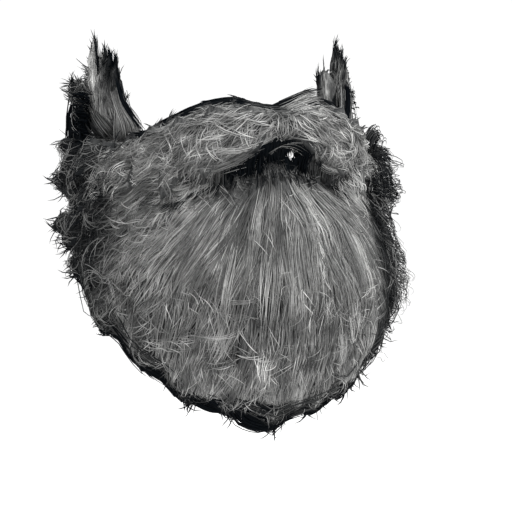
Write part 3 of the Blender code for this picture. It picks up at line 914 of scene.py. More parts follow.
def strand_mesh(name: str, strands: Strands) -> bpy.types.Mesh:
    """Makes one mesh of closed, tapering strands with three sides.

    Args:
        name: The mesh's name.
        strands: The strands, the last place of each being its tip.

    Returns:
        The mesh, with the tone of the hair at every point.
    """
    middle = strands.middle
    count, places = middle.shape[:2]
    rings = places - 1
    ahead = unit(np.concatenate([middle[:, 1:] - middle[:, :-1], middle[:, -1:] - middle[:, -2:-1]], axis=1))
    across = unit(np.cross(strands.out, ahead))
    out = np.cross(ahead, across)
    along = np.linspace(0.0, 1.0, places)[None, :, None]
    half = strands.width[:, None, None] / 2 * (TAPER[0] + TAPER[1] * along + TAPER[2] * along**2)
    turns = [math.radians(90 + 360 / SIDES * k) for k in range(SIDES)]
    corners = [middle + half * (across * math.cos(t) + THICKNESS * out * math.sin(t)) for t in turns]
    body = np.stack(corners, axis=2)[:, :rings].reshape(count, rings * SIDES, 3)
    points = np.concatenate([body, middle[:, -1:]], axis=1)
    tones = np.concatenate([np.repeat(strands.tone[:, :rings], SIDES, axis=1), strands.tone[:, -1:]], axis=1)

    faces, spots = strand_faces(rings)
    pattern = np.array([i for face in faces for i in face])
    starts = np.cumsum([0] + [len(face) for face in faces[:-1]])
    loops = (pattern[None] + np.arange(count)[:, None] * points.shape[1]).ravel()
    polygons = (starts[None] + np.arange(count)[:, None] * len(pattern)).ravel()

    mesh = bpy.data.meshes.new(name)
    mesh.vertices.add(points.shape[0] * points.shape[1])
    mesh.vertices.foreach_set("co", points.astype(np.float32).ravel())
    mesh.loops.add(len(loops))
    mesh.loops.foreach_set("vertex_index", loops.astype(np.int32))
    mesh.polygons.add(len(polygons))
    mesh.polygons.foreach_set("loop_start", polygons.astype(np.int32))
    mesh.update(calc_edges=True)
    set_tone(mesh, tones)

    columns = math.ceil(math.sqrt(count))
    cell = np.stack([np.arange(count) % columns, np.arange(count) // columns], axis=-1)[:, None]
    inside = np.array([spot for face in spots for spot in face])[None]
    layer = mesh.uv_layers.new(name="OFBake")
    spots = (cell + CELL_MARGIN + (1 - 2 * CELL_MARGIN) * inside) / columns
    layer.data.foreach_set("uv", spots.astype(np.float32).ravel())
    mesh.shade_smooth()
    return mesh


def link(name: str, mesh: bpy.types.Mesh) -> bpy.types.Object:
    """Puts a mesh in the scene as an object at the origin."""
    made = bpy.data.objects.new(name, mesh)
    bpy.context.scene.collection.objects.link(made)
    return made


def pick(obj: bpy.types.Object) -> None:
    """Selects one object, and nothing else."""
    bpy.ops.object.select_all(action="DESELECT")
    obj.select_set(True)
    bpy.context.view_layer.objects.active = obj


def apply_all(obj: bpy.types.Object) -> None:
    """Applies every modifier of an object."""
    pick(obj)
    for modifier in list(obj.modifiers):
        bpy.ops.object.modifier_apply(modifier=modifier.name)


def soften(obj: bpy.types.Object, sharp: float) -> None:
    """Shades an object smooth, but for the edges that turn by more than an angle."""
    pick(obj)
    bpy.ops.object.shade_smooth_by_angle(angle=math.radians(sharp))


def dress(obj: bpy.types.Object, material: bpy.types.Material) -> None:
    """Gives an object a material in place of what it has."""
    obj.data.materials.clear()
    obj.data.materials.append(material)


Socket = bpy.types.NodeSocket


@dataclass
class Nodes:
    """A short way to add and join nodes in one tree."""

    tree: bpy.types.NodeTree

    def add(self, kind: str, **settings: object) -> bpy.types.Node:
        """Adds a node of a kind, with some of its settings."""
        node = self.tree.nodes.new(kind)
        for name, value in settings.items():
            setattr(node, name, value)
        return node

    def join(self, source: Socket | float | tuple[float, ...], target: Socket) -> None:
        """Joins an output to an input, or sets the input where a value is given."""
        if isinstance(source, bpy.types.NodeSocket):
            self.tree.links.new(source, target)
        else:
            target.default_value = source

    def maths(self, operation: str, *values: Socket | float) -> Socket:
        """A Math node's result."""
        node = self.add("ShaderNodeMath", operation=operation)
        for value, target in zip(values, node.inputs):
            self.join(value, target)
        return node.outputs[0]

    def mix(self, share: Socket | float, low: Socket | tuple, high: Socket | tuple) -> Socket:
        """A colour between two others."""
        node = self.add("ShaderNodeMix", data_type="RGBA")
        for value, name in ((share, "Factor"), (low, "A"), (high, "B")):
            target = next(s for s in node.inputs if s.name == name and s.enabled)
            self.join(value, target)
        return next(s for s in node.outputs if s.enabled)

    def noise(self, vector: Socket, scale: float, detail: float = 2.0) -> Socket:
        """A noise texture's value."""
        node = self.add("ShaderNodeTexNoise")
        self.join(vector, node.inputs["Vector"])
        node.inputs["Scale"].default_value = scale
        node.inputs["Detail"].default_value = detail
        return node.outputs["Fac"]


    def effect(
        self, shader: bpy.types.Node, group: bpy.types.NodeTree, tone: Socket, **values: float
    ) -> None:
        """Places the shared tone effect before a shader's colour and roughness.

        Args:
            shader: The shader.
            group: The effect.
            tone: The tone that it makes into colour.
            values: Its other inputs.
        """
        node = self.add("ShaderNodeGroup", node_tree=group)
        self.join(tone, node.inputs["Tone"])
        for name, value in values.items():
            node.inputs[name].default_value = value
        self.join(node.outputs["Color"], shader.inputs["Base Color"])
        self.join(node.outputs["Roughness"], shader.inputs["Roughness"])

    def bump(self, shader: bpy.types.Node, height: Socket, strength: float, distance: float) -> None:
        """Raises a shader's surface by a height."""
        node = self.add("ShaderNodeBump")
        node.inputs["Strength"].default_value = strength
        node.inputs["Distance"].default_value = distance
        self.join(height, node.inputs["Height"])
        self.join(node.outputs["Normal"], shader.inputs["Normal"])


def new_group(name: str, inputs: dict[str, float], outputs: dict[str, str]) -> Nodes:
    """Starts a shader node group.

    Args:
        name: The group's name.
        inputs: The name and usual value of each input, all plain numbers.
        outputs: The name and socket type of each output.

    Returns:
        A way to add nodes to it.
    """
    tree = bpy.data.node_groups.new(name, "ShaderNodeTree")
    for label, value in inputs.items():
        socket = tree.interface.new_socket(name=label, in_out="INPUT", socket_type="NodeSocketFloat")
        socket.default_value = value
    for label, kind in outputs.items():
        tree.interface.new_socket(name=label, in_out="OUTPUT", socket_type=kind)
    return Nodes(tree)


def new_material(name: str) -> tuple[bpy.types.Material, Nodes, bpy.types.Node]:
    """Starts a material, with a way to add nodes to it and its shader."""
    made = bpy.data.materials.new(name)
    made.use_nodes = True
    return made, Nodes(made.node_tree), made.node_tree.nodes["Principled BSDF"]


BLACK_HAIR = (0.0016, 0.0026, 0.0038, 1.0)
WHITE_HAIR = (0.92, 0.92, 0.90, 1.0)
FINE_FLECKS = 420.0  # how many there are in a metre
BROAD_FLECKS = 55.0


def hair_tone_group() -> bpy.types.NodeTree:
    """The effect that makes a tone into the colour and gloss of hair, flecked along each strand."""
    nodes = new_group(
        "hair_tone",
        {"Tone": 0.3, "Fleck": 0.3, "Gloss": 0.45},
        {"Color": "NodeSocketColor", "Roughness": "NodeSocketFloat"},
    )
    given = nodes.add("NodeGroupInput")
    result = nodes.add("NodeGroupOutput")
    where = nodes.add("ShaderNodeTexCoord")
    fine = nodes.noise(where.outputs["Object"], FINE_FLECKS)
    broad = nodes.noise(where.outputs["Object"], BROAD_FLECKS)
    swing = nodes.maths("MULTIPLY", nodes.maths("SUBTRACT", fine, 0.5), given.outputs["Fleck"])
    drift = nodes.maths("MULTIPLY", nodes.maths("SUBTRACT", broad, 0.5), given.outputs["Fleck"])
    gain = nodes.maths("ADD", nodes.maths("ADD", 1.0, swing), drift)
    tone = nodes.maths("MINIMUM", nodes.maths("MULTIPLY", given.outputs["Tone"], gain), 1.0)
    rough = nodes.maths("ADD", given.outputs["Gloss"], nodes.maths("MULTIPLY", swing, 0.5))
    nodes.join(nodes.mix(tone, BLACK_HAIR, WHITE_HAIR), result.inputs["Color"])
    nodes.join(rough, result.inputs["Roughness"])
    return nodes.tree


@dataclass(frozen=True)
class HairFinish:
    """The finish of loose strands, whose tone comes with them.

    Attributes:
        name: The material's name.
        fleck: How far the tone swings along a strand.
        gloss: Its roughness.
        shine: How strongly it reflects.
    """

    name: str
    fleck: float = 0.45
    gloss: float = 0.50
    shine: float = 0.08

    def make(self, tones: bpy.types.NodeTree) -> bpy.types.Material:
        """The material, around the shared tone effect."""
        made, nodes, shader = new_material(self.name)
        tone = nodes.add("ShaderNodeAttribute", attribute_name="tone")
        nodes.effect(shader, tones, tone.outputs["Fac"], Fleck=self.fleck, Gloss=self.gloss)
        shader.inputs["Specular IOR Level"].default_value = self.shine
        return made


@dataclass(frozen=True)
class UnderFinish:
    """The finish of the dense hair under the strands: dark, with streaks that run down.

    Attributes:
        name: The material's name.
        streak: How fine its streaks are across, in streaks a metre.
        stretch: How fine they are down, as a share of that.
        gloss: Its roughness.
        shine: How strongly it reflects.
        relief: How deep its streaks are.
    """

    name: str
    streak: float = 900.0
    stretch: float = 0.12
    gloss: float = 0.6
    shine: float = 0.05
    relief: float = 0.0006

    def make(self, tones: bpy.types.NodeTree) -> bpy.types.Material:
        """The material, around the shared tone effect."""
        made, nodes, shader = new_material(self.name)
        where = nodes.add("ShaderNodeTexCoord")
        stretched = nodes.add("ShaderNodeMapping")
        nodes.join(where.outputs["Object"], stretched.inputs["Vector"])
        stretched.inputs["Scale"].default_value = (1.0, 1.0, self.stretch)
        streaks = nodes.noise(stretched.outputs["Vector"], self.streak)
        tone = nodes.add("ShaderNodeAttribute", attribute_name="tone")
        streaked = nodes.maths("MULTIPLY", nodes.maths("MULTIPLY", streaks, 2.0), tone.outputs["Fac"])
        nodes.effect(shader, tones, streaked, Gloss=self.gloss)
        shader.inputs["Specular IOR Level"].default_value = self.shine
        nodes.bump(shader, streaks, 0.9, self.relief)
        return made


@dataclass(frozen=True)
class ClothFinish:
    """The backing's woven cloth.

    Attributes:
        name: The material's name.
        thread: The distance between two threads.
        dark: The colour between the threads.
        light: The colour on top of them.
        roughness: How rough it is.
        sheen: How strongly its nap catches the light.
        patches: How fine its uneven patches are, in patches a metre.
        relief: How far the threads stand up.
    """

    name: str = "backing_cloth"
    thread: float = 0.0011
    dark: tuple[float, float, float, float] = (0.012, 0.012, 0.013, 1.0)
    light: tuple[float, float, float, float] = (0.085, 0.082, 0.078, 1.0)
    roughness: float = 0.85
    sheen: float = 0.15
    patches: float = 260.0
    relief: float = 0.0004

    def make(self) -> bpy.types.Material:
        """The material, whose weave follows the cloth's own map in metres."""
        made, nodes, shader = new_material(self.name)
        where = nodes.add("ShaderNodeUVMap", uv_map="cloth")
        apart = nodes.add("ShaderNodeSeparateXYZ")
        nodes.join(where.outputs["UV"], apart.inputs[0])
        turns = [nodes.maths("MULTIPLY", apart.outputs[axis], math.pi / self.thread) for axis in ("X", "Y")]
        warp, weft = (nodes.maths("ABSOLUTE", nodes.maths("SINE", turn)) for turn in turns)
        weave = nodes.maths("MULTIPLY", warp, weft)
        uneven = nodes.noise(where.outputs["UV"], self.patches)
        worn = nodes.maths("MULTIPLY", weave, nodes.maths("ADD", 0.4, uneven))
        nodes.join(nodes.mix(worn, self.dark, self.light), shader.inputs["Base Color"])
        rough = nodes.maths("ADD", self.roughness - 0.05, nodes.maths("MULTIPLY", uneven, 0.12))
        nodes.join(rough, shader.inputs["Roughness"])
        shader.inputs["Sheen Weight"].default_value = self.sheen
        nodes.bump(shader, weave, 0.8, self.relief)
        return made


def report(piece: bpy.types.Object) -> None:
    """Says in the log what a piece came to."""
    triangles = sum(len(p.vertices) - 2 for p in piece.data.polygons)
    log.info("%s: %d triangles", piece.name, triangles)


@dataclass
class Backing:
    """The cloth backing, a stretched sheet that fits the face, with a hole for the mouth.

    Attributes:
        chart: The model's surfaces.
        columns: Faces round the head.
        rows: Faces up the sheet.
        wall: The cloth's thickness.
        rear: The angle where it ends.
        mouth_height: The hole's middle.
        mouth_half_width: Half the hole's width.
        mouth_half_height: Half its height.
        mouth_arch: How far its corners drop.
        mouth_sides: The hole's corners.
        cloth_per_degree: How much cloth there is for one degree round the head.
        rear_margin: How many degrees before the rear its faces are still read.
        search: The lowest and highest place where its edges are looked for, and the step.
        sharp: The angle above which an edge stays sharp.
    """

    chart: Chart
    columns: int = 96
    rows: int = 26
    wall: float = 0.0012
    rear: float = 90.0
    mouth_height: float = 0.037
    mouth_half_width: float = 0.027
    mouth_half_height: float = 0.0080
    mouth_arch: float = 0.014
    mouth_sides: int = 56
    cloth_per_degree: float = 0.0014
    rear_margin: float = 0.3
    search: tuple[float, float, float] = (-0.032, 0.072, 0.0005)
    sharp: float = 40.0

    def make(self, cloth: bpy.types.Material) -> bpy.types.Object:
        """Builds the sheet, gives it its wall, cuts the mouth and dresses it.

        Args:
            cloth: The woven cloth's material.

        Returns:
            The finished piece.
        """
        bpy.ops.mesh.primitive_grid_add(x_subdivisions=self.columns, y_subdivisions=self.rows, size=2.0)
        sheet = bpy.context.active_object
        sheet.name = "backing_cloth"
        sheet.data.name = "backing_cloth"
        inside, low, top = self._faces()
        layer = sheet.data.uv_layers[0]
        layer.name = "cloth"
        flat = {}
        for vertex in sheet.data.vertices:
            angle = np.array(vertex.co.x * self.rear)
            share = (vertex.co.y + 1) / 2
            height = np.interp(angle, self.chart.angles, low) * (1 - share)
            height = height + np.interp(angle, self.chart.angles, top) * share
            radius = self.chart.read(inside, angle, height)
            flat[vertex.index] = (float(angle) * self.cloth_per_degree, float(height))
            vertex.co = self.chart.place(angle, radius, height)
        for loop in sheet.data.loops:
            layer.data[loop.index].uv = flat[loop.vertex_index]
        wall = sheet.modifiers.new("wall", "SOLIDIFY")
        wall.thickness = self.wall
        wall.offset = 1.0
        hole = sheet.modifiers.new("mouth", "BOOLEAN")
        hole.operation = "DIFFERENCE"
        cutter = self._mouth_cutter()
        hole.object = cutter
        apply_all(sheet)
        bpy.data.objects.remove(cutter, do_unlink=True)
        soften(sheet, self.sharp)
        dress(sheet, cloth)
        return sheet

    def _faces(self) -> tuple[Array, Array, Array]:
        """The cloth's inside face, and its lower and upper edge, read from the model's node."""
        chart = self.chart
        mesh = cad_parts["backing"].data
        solid = BVHTree.FromPolygons([v.co for v in mesh.vertices], [p.vertices for p in mesh.polygons])
        fine = np.arange(*self.search)
        side = self.rear - self.rear_margin
        inside = np.full((len(chart.angles), len(chart.heights)), np.nan)
        low, top = np.zeros(len(chart.angles)), np.zeros(len(chart.angles))
        for i, angle in enumerate(chart.angles):
            away = chart.away(float(np.clip(angle, -side, side)))
            centre = Vector(chart.place(0.0, 0.0, 0.0))
            hits = [h for h in fine if solid.ray_cast(centre + Vector((0, 0, h)), away)[0] is not None]
            low[i], top[i] = min(hits), max(hits)
            for j, height in enumerate(chart.heights):
                reach = solid.ray_cast(centre + Vector((0, 0, float(height))), away)[3]
                inside[i, j] = np.nan if reach is None else reach
        return chart.blur(chart.fill(inside), 1), low, top

    def _mouth_cutter(self) -> bpy.types.Object:
        """An arched oval prism through the mouth."""
        bpy.ops.mesh.primitive_cylinder_add(vertices=self.mouth_sides, radius=1.0, depth=0.1)
        cutter = bpy.context.active_object
        cutter.name = "mouth_cutter"
        for vertex in cutter.data.vertices:
            across, up, away = vertex.co
            arch = self.mouth_arch * across**2
            height = self.mouth_height + self.mouth_half_height * up - arch
            vertex.co = (across * self.mouth_half_width, -away, height)
        return cutter


DRAWN_SEED = 300  # of a mass's first drawn wisp
MATTE_PIECES = ("fringe", "pelt", "edge")  # the words in the names of pieces that hardly shine
MERGE_DISTANCE = 0.00001  # under which two points of the dense hair become one
UNDER_SHARP = 60.0  # the angle above which an edge of the dense hair stays sharp


@dataclass
class HairMass:
    """A hair mass: the dense hair that the model gives, and the coats of strands laid on it.

    Attributes:
        mass: Which mass it is.
        slot: The record's slot for its finish, not used.
        comb: Which way its hair lies.
        shading: Its tones.
        pieces: The name of each piece of strands, with its coats.
        under_tone: The dense hair's tone, as a share of the strands' over it; its darkness is partly painted
            shade.
        drawn: The wisps drawn over it that shine.
        shade: Those that don't, most of them dark.
        outlines: The dark lines along its edges, which join the shade.
    """

    mass: Mass
    slot: str
    comb: Comb
    shading: Shading
    pieces: dict[str, tuple[Coat, ...]]
    under_tone: float = 0.25
    drawn: tuple[Wisp, ...] = ()
    shade: tuple[Wisp, ...] = ()
    outlines: tuple[Outline, ...] = ()

    def make(self, dresser: Dresser, finish: bpy.types.Material, tones: bpy.types.NodeTree) -> None:
        """Builds the dense hair and every piece of strands, and reports them.

        Args:
            dresser: What lays the strands.
            finish: The strands' material.
            tones: The shared tone effect.
        """
        matte = HairFinish("dull_" + self.mass.value, gloss=0.7, shine=0.01).make(tones)
        report(self._dense(dresser.chart, UnderFinish("under_" + self.mass.value).make(tones)))
        lines = tuple(wisp for outline in self.outlines for wisp in outline.wisps(dresser.chart))
        for end, drawn, look in (("_wisps", self.drawn, finish), ("_shade", self.shade + lines, matte)):
            if drawn:
                laid = [dresser.draw(wisp, DRAWN_SEED + index) for index, wisp in enumerate(drawn)]
                self._piece(self.mass.value + end, [dresser.outside(strands) for strands in laid], look)
        for name, coats in self.pieces.items():
            laid = [self._grown(dresser, name, index, coat) for index, coat in enumerate(coats)]
            self._piece(name, laid, matte if any(word in name for word in MATTE_PIECES) else finish)

    def _grown(self, dresser: Dresser, name: str, index: int, coat: Coat) -> Strands:
        """One coat of a piece, whose random numbers start from the piece's name and the coat's place."""
        seed = sum(ord(letter) * (7 + k) for k, letter in enumerate(name)) + 101 * index
        grow = dresser.pelt if coat.lie is Lie.PELT else dresser.lay
        strands = grow(coat, self.comb, self.shading, seed)
        return dresser.outside(strands) if coat.face is Face.OUTSIDE else strands

    def _piece(self, name: str, laid: list[Strands], finish: bpy.types.Material) -> None:
        """Makes one piece of several lots of strands, which rides on the body, and reports it."""
        parts = [link(f"{name}_{index}", strand_mesh(f"{name}_{index}", s)) for index, s in enumerate(laid)]
        piece = self._joined(name, parts)
        dress(piece, finish)
        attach(piece, BODY)
        report(piece)

    def _dense(self, chart: Chart, finish: bpy.types.Material) -> bpy.types.Object:
        """The node's own shape with its points joined and softened, and a darker tone than its strands."""
        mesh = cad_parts[self.mass.value].data.copy()
        mesh.name = "under_" + self.mass.value
        edit = bmesh.new()
        edit.from_mesh(mesh)
        bmesh.ops.remove_doubles(edit, verts=edit.verts, dist=MERGE_DISTANCE)
        edit.to_mesh(mesh)
        edit.free()
        spots = np.array([v.co for v in mesh.vertices])
        # Darker than its strands, partly as dark under-hair and partly as painted shade between the strands
        set_tone(mesh, self.under_tone * self.shading.tone(chart, chart.angle_of(spots), spots[:, 2]))
        dense = link("under_" + self.mass.value, mesh)
        soften(dense, UNDER_SHARP)
        dress(dense, finish)
        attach(dense, BODY)
        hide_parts(self.mass.value)
        return dense

    @staticmethod
    def _joined(name: str, parts: list[bpy.types.Object]) -> bpy.types.Object:
        """One object of several, each with its own share of the map."""
        shares = len(parts)
        for index, part in enumerate(parts):
            layer = part.data.uv_layers["OFBake"]
            spots = np.empty(len(layer.data) * 2, np.float32)
            layer.data.foreach_get("uv", spots)
            spots = spots.reshape(-1, 2)
            spots[:, 1] = (spots[:, 1] + index) / shares
            layer.data.foreach_set("uv", spots.ravel())
        bpy.ops.object.select_all(action="DESELECT")
        for part in parts:
            part.select_set(True)
        bpy.context.view_layer.objects.active = parts[0]
        if shares > 1:
            bpy.ops.object.join()
        parts[0].name = name
        parts[0].data.name = name
        return parts[0]


BEARD_COMB = Comb(
    (
        Stroke(0, 0.025, 0), Stroke(8, 0.025, 30), Stroke(16, 0.022, 46), Stroke(26, 0.016, 50),
        Stroke(0, -0.010, 0), Stroke(10, -0.010, 18), Stroke(20, -0.010, 31), Stroke(30, -0.006, 38),
        Stroke(0, -0.050, 0), Stroke(12, -0.050, 10), Stroke(24, -0.050, 18), Stroke(36, -0.045, 24),
        Stroke(38, 0.012, 50), Stroke(50, 0.020, 56), Stroke(46, -0.015, 42), Stroke(50, -0.045, 30),
        Stroke(62, 0.030, 52), Stroke(78, 0.035, 48), Stroke(62, -0.005, 60), Stroke(80, 0.000, 66),
        Stroke(66, -0.040, 34), Stroke(0, -0.100, 0), Stroke(18, -0.092, 8), Stroke(32, -0.075, 16),
    )
)
MOUSTACHE_COMB = Comb(
    (
        Stroke(0, 0.056, 40), Stroke(6, 0.062, 74), Stroke(15, 0.062, 64), Stroke(6, 0.046, 60),
        Stroke(14, 0.046, 52), Stroke(24, 0.052, 60), Stroke(24, 0.036, 52), Stroke(24, 0.022, 40),
        Stroke(36, 0.044, 66), Stroke(36, 0.030, 64), Stroke(48, 0.034, 68), Stroke(50, 0.022, 56),
    )
)
SIDEBURN_COMB = Comb(
    (
        Stroke(58, 0.052, 172), Stroke(66, 0.070, 192), Stroke(76, 0.070, 184), Stroke(84, 0.070, 176),
        Stroke(90, 0.060, 150), Stroke(84, 0.050, 172), Stroke(72, 0.050, 182),
    )
)

# Mostly the hair's own patches of tone. Painted light among them: a painted highlight at 5 degrees and 0.062
# on the left wing's top, painted shade under the wings at -43, 16 and -16 degrees, and the patches at -55 and
# 31 degrees, which lighten the flank's painted shade
TONE_AND_LIGHT_PATCHES = (
    ToneOrLightPatch(5, 0.062, 0.010, 0.007, 2.3), ToneOrLightPatch(8, -0.012, 0.006, 0.018, 1.5),
    ToneOrLightPatch(4, -0.038, 0.006, 0.008, 1.5), ToneOrLightPatch(24, -0.018, 0.009, 0.018, 1.5),
    ToneOrLightPatch(35, 0.009, 0.005, 0.010, 1.8), ToneOrLightPatch(-5, -0.082, 0.007, 0.009, 1.5),
    ToneOrLightPatch(-20, -0.088, 0.006, 0.007, 1.4), ToneOrLightPatch(-35, -0.004, 0.006, 0.008, 1.4),
    ToneOrLightPatch(-26, 0.008, 0.005, 0.009, 1.4), ToneOrLightPatch(-18, -0.021, 0.005, 0.009, 1.4),
    ToneOrLightPatch(-67, 0.052, 0.014, 0.010, 1.3), ToneOrLightPatch(-43, 0.016, 0.014, 0.006, 0.6),
    ToneOrLightPatch(16, 0.020, 0.012, 0.005, 0.45), ToneOrLightPatch(-16, 0.016, 0.012, 0.006, 0.6),
    ToneOrLightPatch(-12, -0.055, 0.010, 0.014, 0.8), ToneOrLightPatch(60, 0.062, 0.012, 0.016, 1.5),
    ToneOrLightPatch(-55, 0.047, 0.010, 0.009, 1.9), ToneOrLightPatch(31, 0.018, 0.007, 0.014, 1.6),
    ToneOrLightPatch(-20, 0.050, 0.009, 0.007, 0.7), ToneOrLightPatch(17, 0.044, 0.010, 0.010, 1.35),
    ToneOrLightPatch(-14, -0.093, 0.006, 0.006, 0.4),
)

# Looks that several wisps or coats share
DARK = (0.0, 0.004)
LOOP = Wisp((), 20, loose=0.0012, tone=DARK, width=0.0008)
TUFT = Wisp((), 16, loose=0.0012, tone=(0.0, 0.06), rings=4)
EDGE_LOOK = Wisp((), 16, loose=0.0009, lift=0.0012, tone=DARK, width=0.0010, rings=6)
INNER_LOOK = replace(EDGE_LOOK, count=9, loose=0.0034, lift=0.0032, tone=(0.0, 0.09), width=0.0008)
CURLS = Coat(
    Mass.BEARD, 600, wisp=5, length=(0.012, 0.024), width=0.0006, lift=(0.0, 0.004, 0.005), tone=(0.3, 1.6),
    spread=45.0, turn=190.0, gather=0.3, overhang=0.0035,
)
LIGHT_CURLS = replace(
    CURLS, count=150, wisp=3, width=0.00042, floor=0.17, lift=(0.0015, 0.0045, 0.005), overhang=0.001
)
STRAYS = Coat(
    Mass.BEARD, 150, wisp=3, length=(0.010, 0.022), width=0.00042, lift=(0.0, 0.0024, 0.0018),
    tone=(1.3, 2.3), spread=55.0, turn=60.0, gather=0.3, edge=(0.006, 1.0), root_tone=0.8,
)
FRINGE = Coat(
    Mass.BEARD, 1500, wisp=6, lie=Lie.OUTWARD, edge=(0.0, 0.005), length=(0.003, 0.006), width=0.0007,
    lift=(-0.001, 0.001, 0.0010), spread=24.0, turn=90.0, tone=(0.1, 0.8), gather=0.2, overhang=0.002,
    rings=4,
)


RIM = Coat(
    Mass.MOUSTACHE, 1000, lie=Lie.ALONG, edge=(0.0, 0.003), length=(0.008, 0.016), width=0.0008, spread=5.0,
    turn=8.0, tone=(0.1, 0.7), lift=(0.0, 0.0010, 0.0006), overhang=0.0008, rings=4,
)
TIPS = Coat(
    Mass.MOUSTACHE, 300, lie=Lie.OUTWARD, edge=(0.0, 0.003), length=(0.0015, 0.003), spread=20.0, turn=30.0,
    tone=(0.1, 0.8), lift=(0.0, 0.0006, 0.0004), rings=3, overhang=0.001,
)
PELT = Coat(
    Mass.MOUSTACHE, 1700, lie=Lie.PELT, length=(0.003, 0.0055), width=0.0009, spread=12.0, turn=20.0,
    tone=(0.1, 0.8), lift=(-0.0003, 0.0003, 0.0), rings=3,
)


def on_side(side: float, *path: tuple[float, float]) -> tuple[tuple[float, float], ...]:
    """A path that is given for the wearer's left, on the left with side 1 and on the right with -1."""
    return tuple((side * angle, height) for angle, height in path)


def beard() -> HairMass:
    """Cheeks, jaw and chin."""
    return HairMass(
        Mass.BEARD,
        "grey_hair",
        BEARD_COMB,
        Shading(0.19, tone_and_light_patches=TONE_AND_LIGHT_PATCHES),
        {
            "beard_hair_right": (
                Coat(Mass.BEARD, 2600, angles=(-105.0, -18.0), length=(0.016, 0.032), spread=14.0, turn=26.0),
                Coat(Mass.BEARD, 700, angles=(-60.0, -18.0), wisp=5, length=(0.010, 0.022), spread=30.0,
                     turn=70.0, lift=(-0.0002, 0.0018, 0.0014), tone=(0.6, 2.0), gather=0.3),
                replace(CURLS, angles=(-105.0, -46.0), lift=(0.0, 0.002, 0.003)),
                replace(LIGHT_CURLS, count=280, angles=(-105.0, -50.0), lift=(0.001, 0.003, 0.003)),
            ),
            "beard_hair_middle": (
                Coat(Mass.BEARD, 3000, angles=(-24.0, 24.0), length=(0.020, 0.038), spread=11.0, turn=20.0),
                replace(STRAYS, angles=(-22.0, 22.0), count=240),
            ),
            "beard_hair_left": (
                Coat(Mass.BEARD, 2400, angles=(18.0, 105.0), length=(0.016, 0.034), spread=12.0, turn=20.0),
                replace(CURLS, count=800, angles=(38.0, 84.0), heights=(-0.07, 0.06),
                        lift=(0.0, 0.005, 0.004)),
                replace(CURLS, count=300, angles=(42.0, 66.0), heights=(0.015, 0.055), tone=(0.1, 0.7),
                        lift=(0.0, 0.008, 0.006), length=(0.010, 0.016)),
                replace(CURLS, count=300, angles=(70.0, 105.0)),
                replace(LIGHT_CURLS, angles=(38.0, 60.0), lift=(0.003, 0.007, 0.006)),
                replace(LIGHT_CURLS, count=60, angles=(60.0, 95.0), lift=(0.003, 0.007, 0.006)),
                replace(STRAYS, angles=(16.0, 34.0), count=90),
            ),
            "beard_fringe": (
                FRINGE,
                replace(FRINGE, count=1100, lie=Lie.ALONG, edge=(0.0, 0.004), length=(0.010, 0.020), wisp=6,
                        width=0.0008, spread=10.0, turn=60.0, lift=(0.0, 0.001, 0.001), overhang=0.002),
                replace(FRINGE, count=500, lie=Lie.ALONG, edge=(0.0, 0.002), heights=(-0.13, -0.04), wisp=6,
                        length=(0.010, 0.018), width=0.0011, spread=4.0, turn=20.0, tone=(0.0, 0.3),
                        lift=(0.0, 0.0015, 0.001), overhang=0.0012),
            ),
            "beard_pelt": (
                replace(PELT, mass=Mass.BEARD, count=3800, length=(0.006, 0.012), spread=25.0, turn=40.0,
                        lift=(-0.0003, 0.0005, 0.0008), tone=(0.2, 1.0)),
            ),
            "beard_inside": (
                Coat(Mass.BEARD, 1300, face=Face.INSIDE, angles=(-80.0, 80.0), heights=(-0.11, -0.024),
                     length=(0.016, 0.030), width=0.0007, tone=(0.3, 0.9), rings=4),
            ),
        },
        drawn=BEARD_WISPS,
        shade=BEARD_SHADE,
        outlines=(
            Outline(-78.0, 60.0, False, 0.0022, replace(EDGE_LOOK, count=20, loose=0.0016)),
            Outline(-68.0, -26.0, False, 0.0075, replace(INNER_LOOK, count=14)),
            Outline(-16.0, 54.0, False, 0.0064, INNER_LOOK),
        ),
    )


BEARD_WISPS = (
    # The hooked wisp on the wearer's left, low down
    Wisp(((10, -0.016), (15, -0.040), (19, -0.058), (21, -0.067), (24, -0.064), (24, -0.058)), 12),
    # The long streaks beside it
    Wisp(((18, 0.000), (23, -0.014), (28, -0.028), (31, -0.040)), 16, tone=(0.4, 0.95)),
    Wisp(((5, 0.006), (8, -0.010), (9, -0.028), (7, -0.042)), 18, tone=(0.4, 0.9)),
    Wisp(((0, -0.020), (2, -0.034), (1, -0.044)), 12, tone=(0.25, 0.6)),
    # The tufts at the lower right and the pale patch beside the point
    Wisp(((-20, -0.078), (-21, -0.088), (-22, -0.096)), 10, tone=(0.2, 0.5)),
    Wisp(((-5, -0.068), (-6, -0.080), (-5, -0.090)), 20, loose=0.0020, tone=(0.35, 0.85)),
    # Arcs that cross the fan
    Wisp(((-20, -0.036), (-15, -0.042), (-10, -0.042), (-6, -0.036)), 7, tone=(0.15, 0.4)),
    Wisp(((-26, -0.056), (-21, -0.063), (-15, -0.062), (-11, -0.056)), 8, tone=(0.18, 0.45)),
    Wisp(((2, -0.006), (8, -0.012), (15, -0.010)), 6, tone=(0.2, 0.5)),
    Wisp(((-34, -0.020), (-37, -0.030), (-43, -0.036)), 8, tone=(0.18, 0.42)),
    # Pale loops over the curls beside the sideburns
    *(
        Wisp(
            on_side(side, (80 + k, 0.038 + 0.008 * k), (86 + k, 0.043 + 0.008 * k),
                    (88 + k, 0.050 + 0.008 * k), (82 + k, 0.054 + 0.008 * k)),
            3, tone=(0.12, 0.30), radius=radius,
        )
        for side, radius in ((-1, (0.0835, 0.084, 0.0835, 0.083)), (1, (0.088, 0.089, 0.088, 0.087)))
        for k in range(4)
    ),
    # A pale loop in the dark ones round the point
    Wisp(((-12, -0.096), (-7, -0.104), (-1, -0.1075), (5, -0.103), (8, -0.095)), 10, tone=(0.05, 0.2)),
)
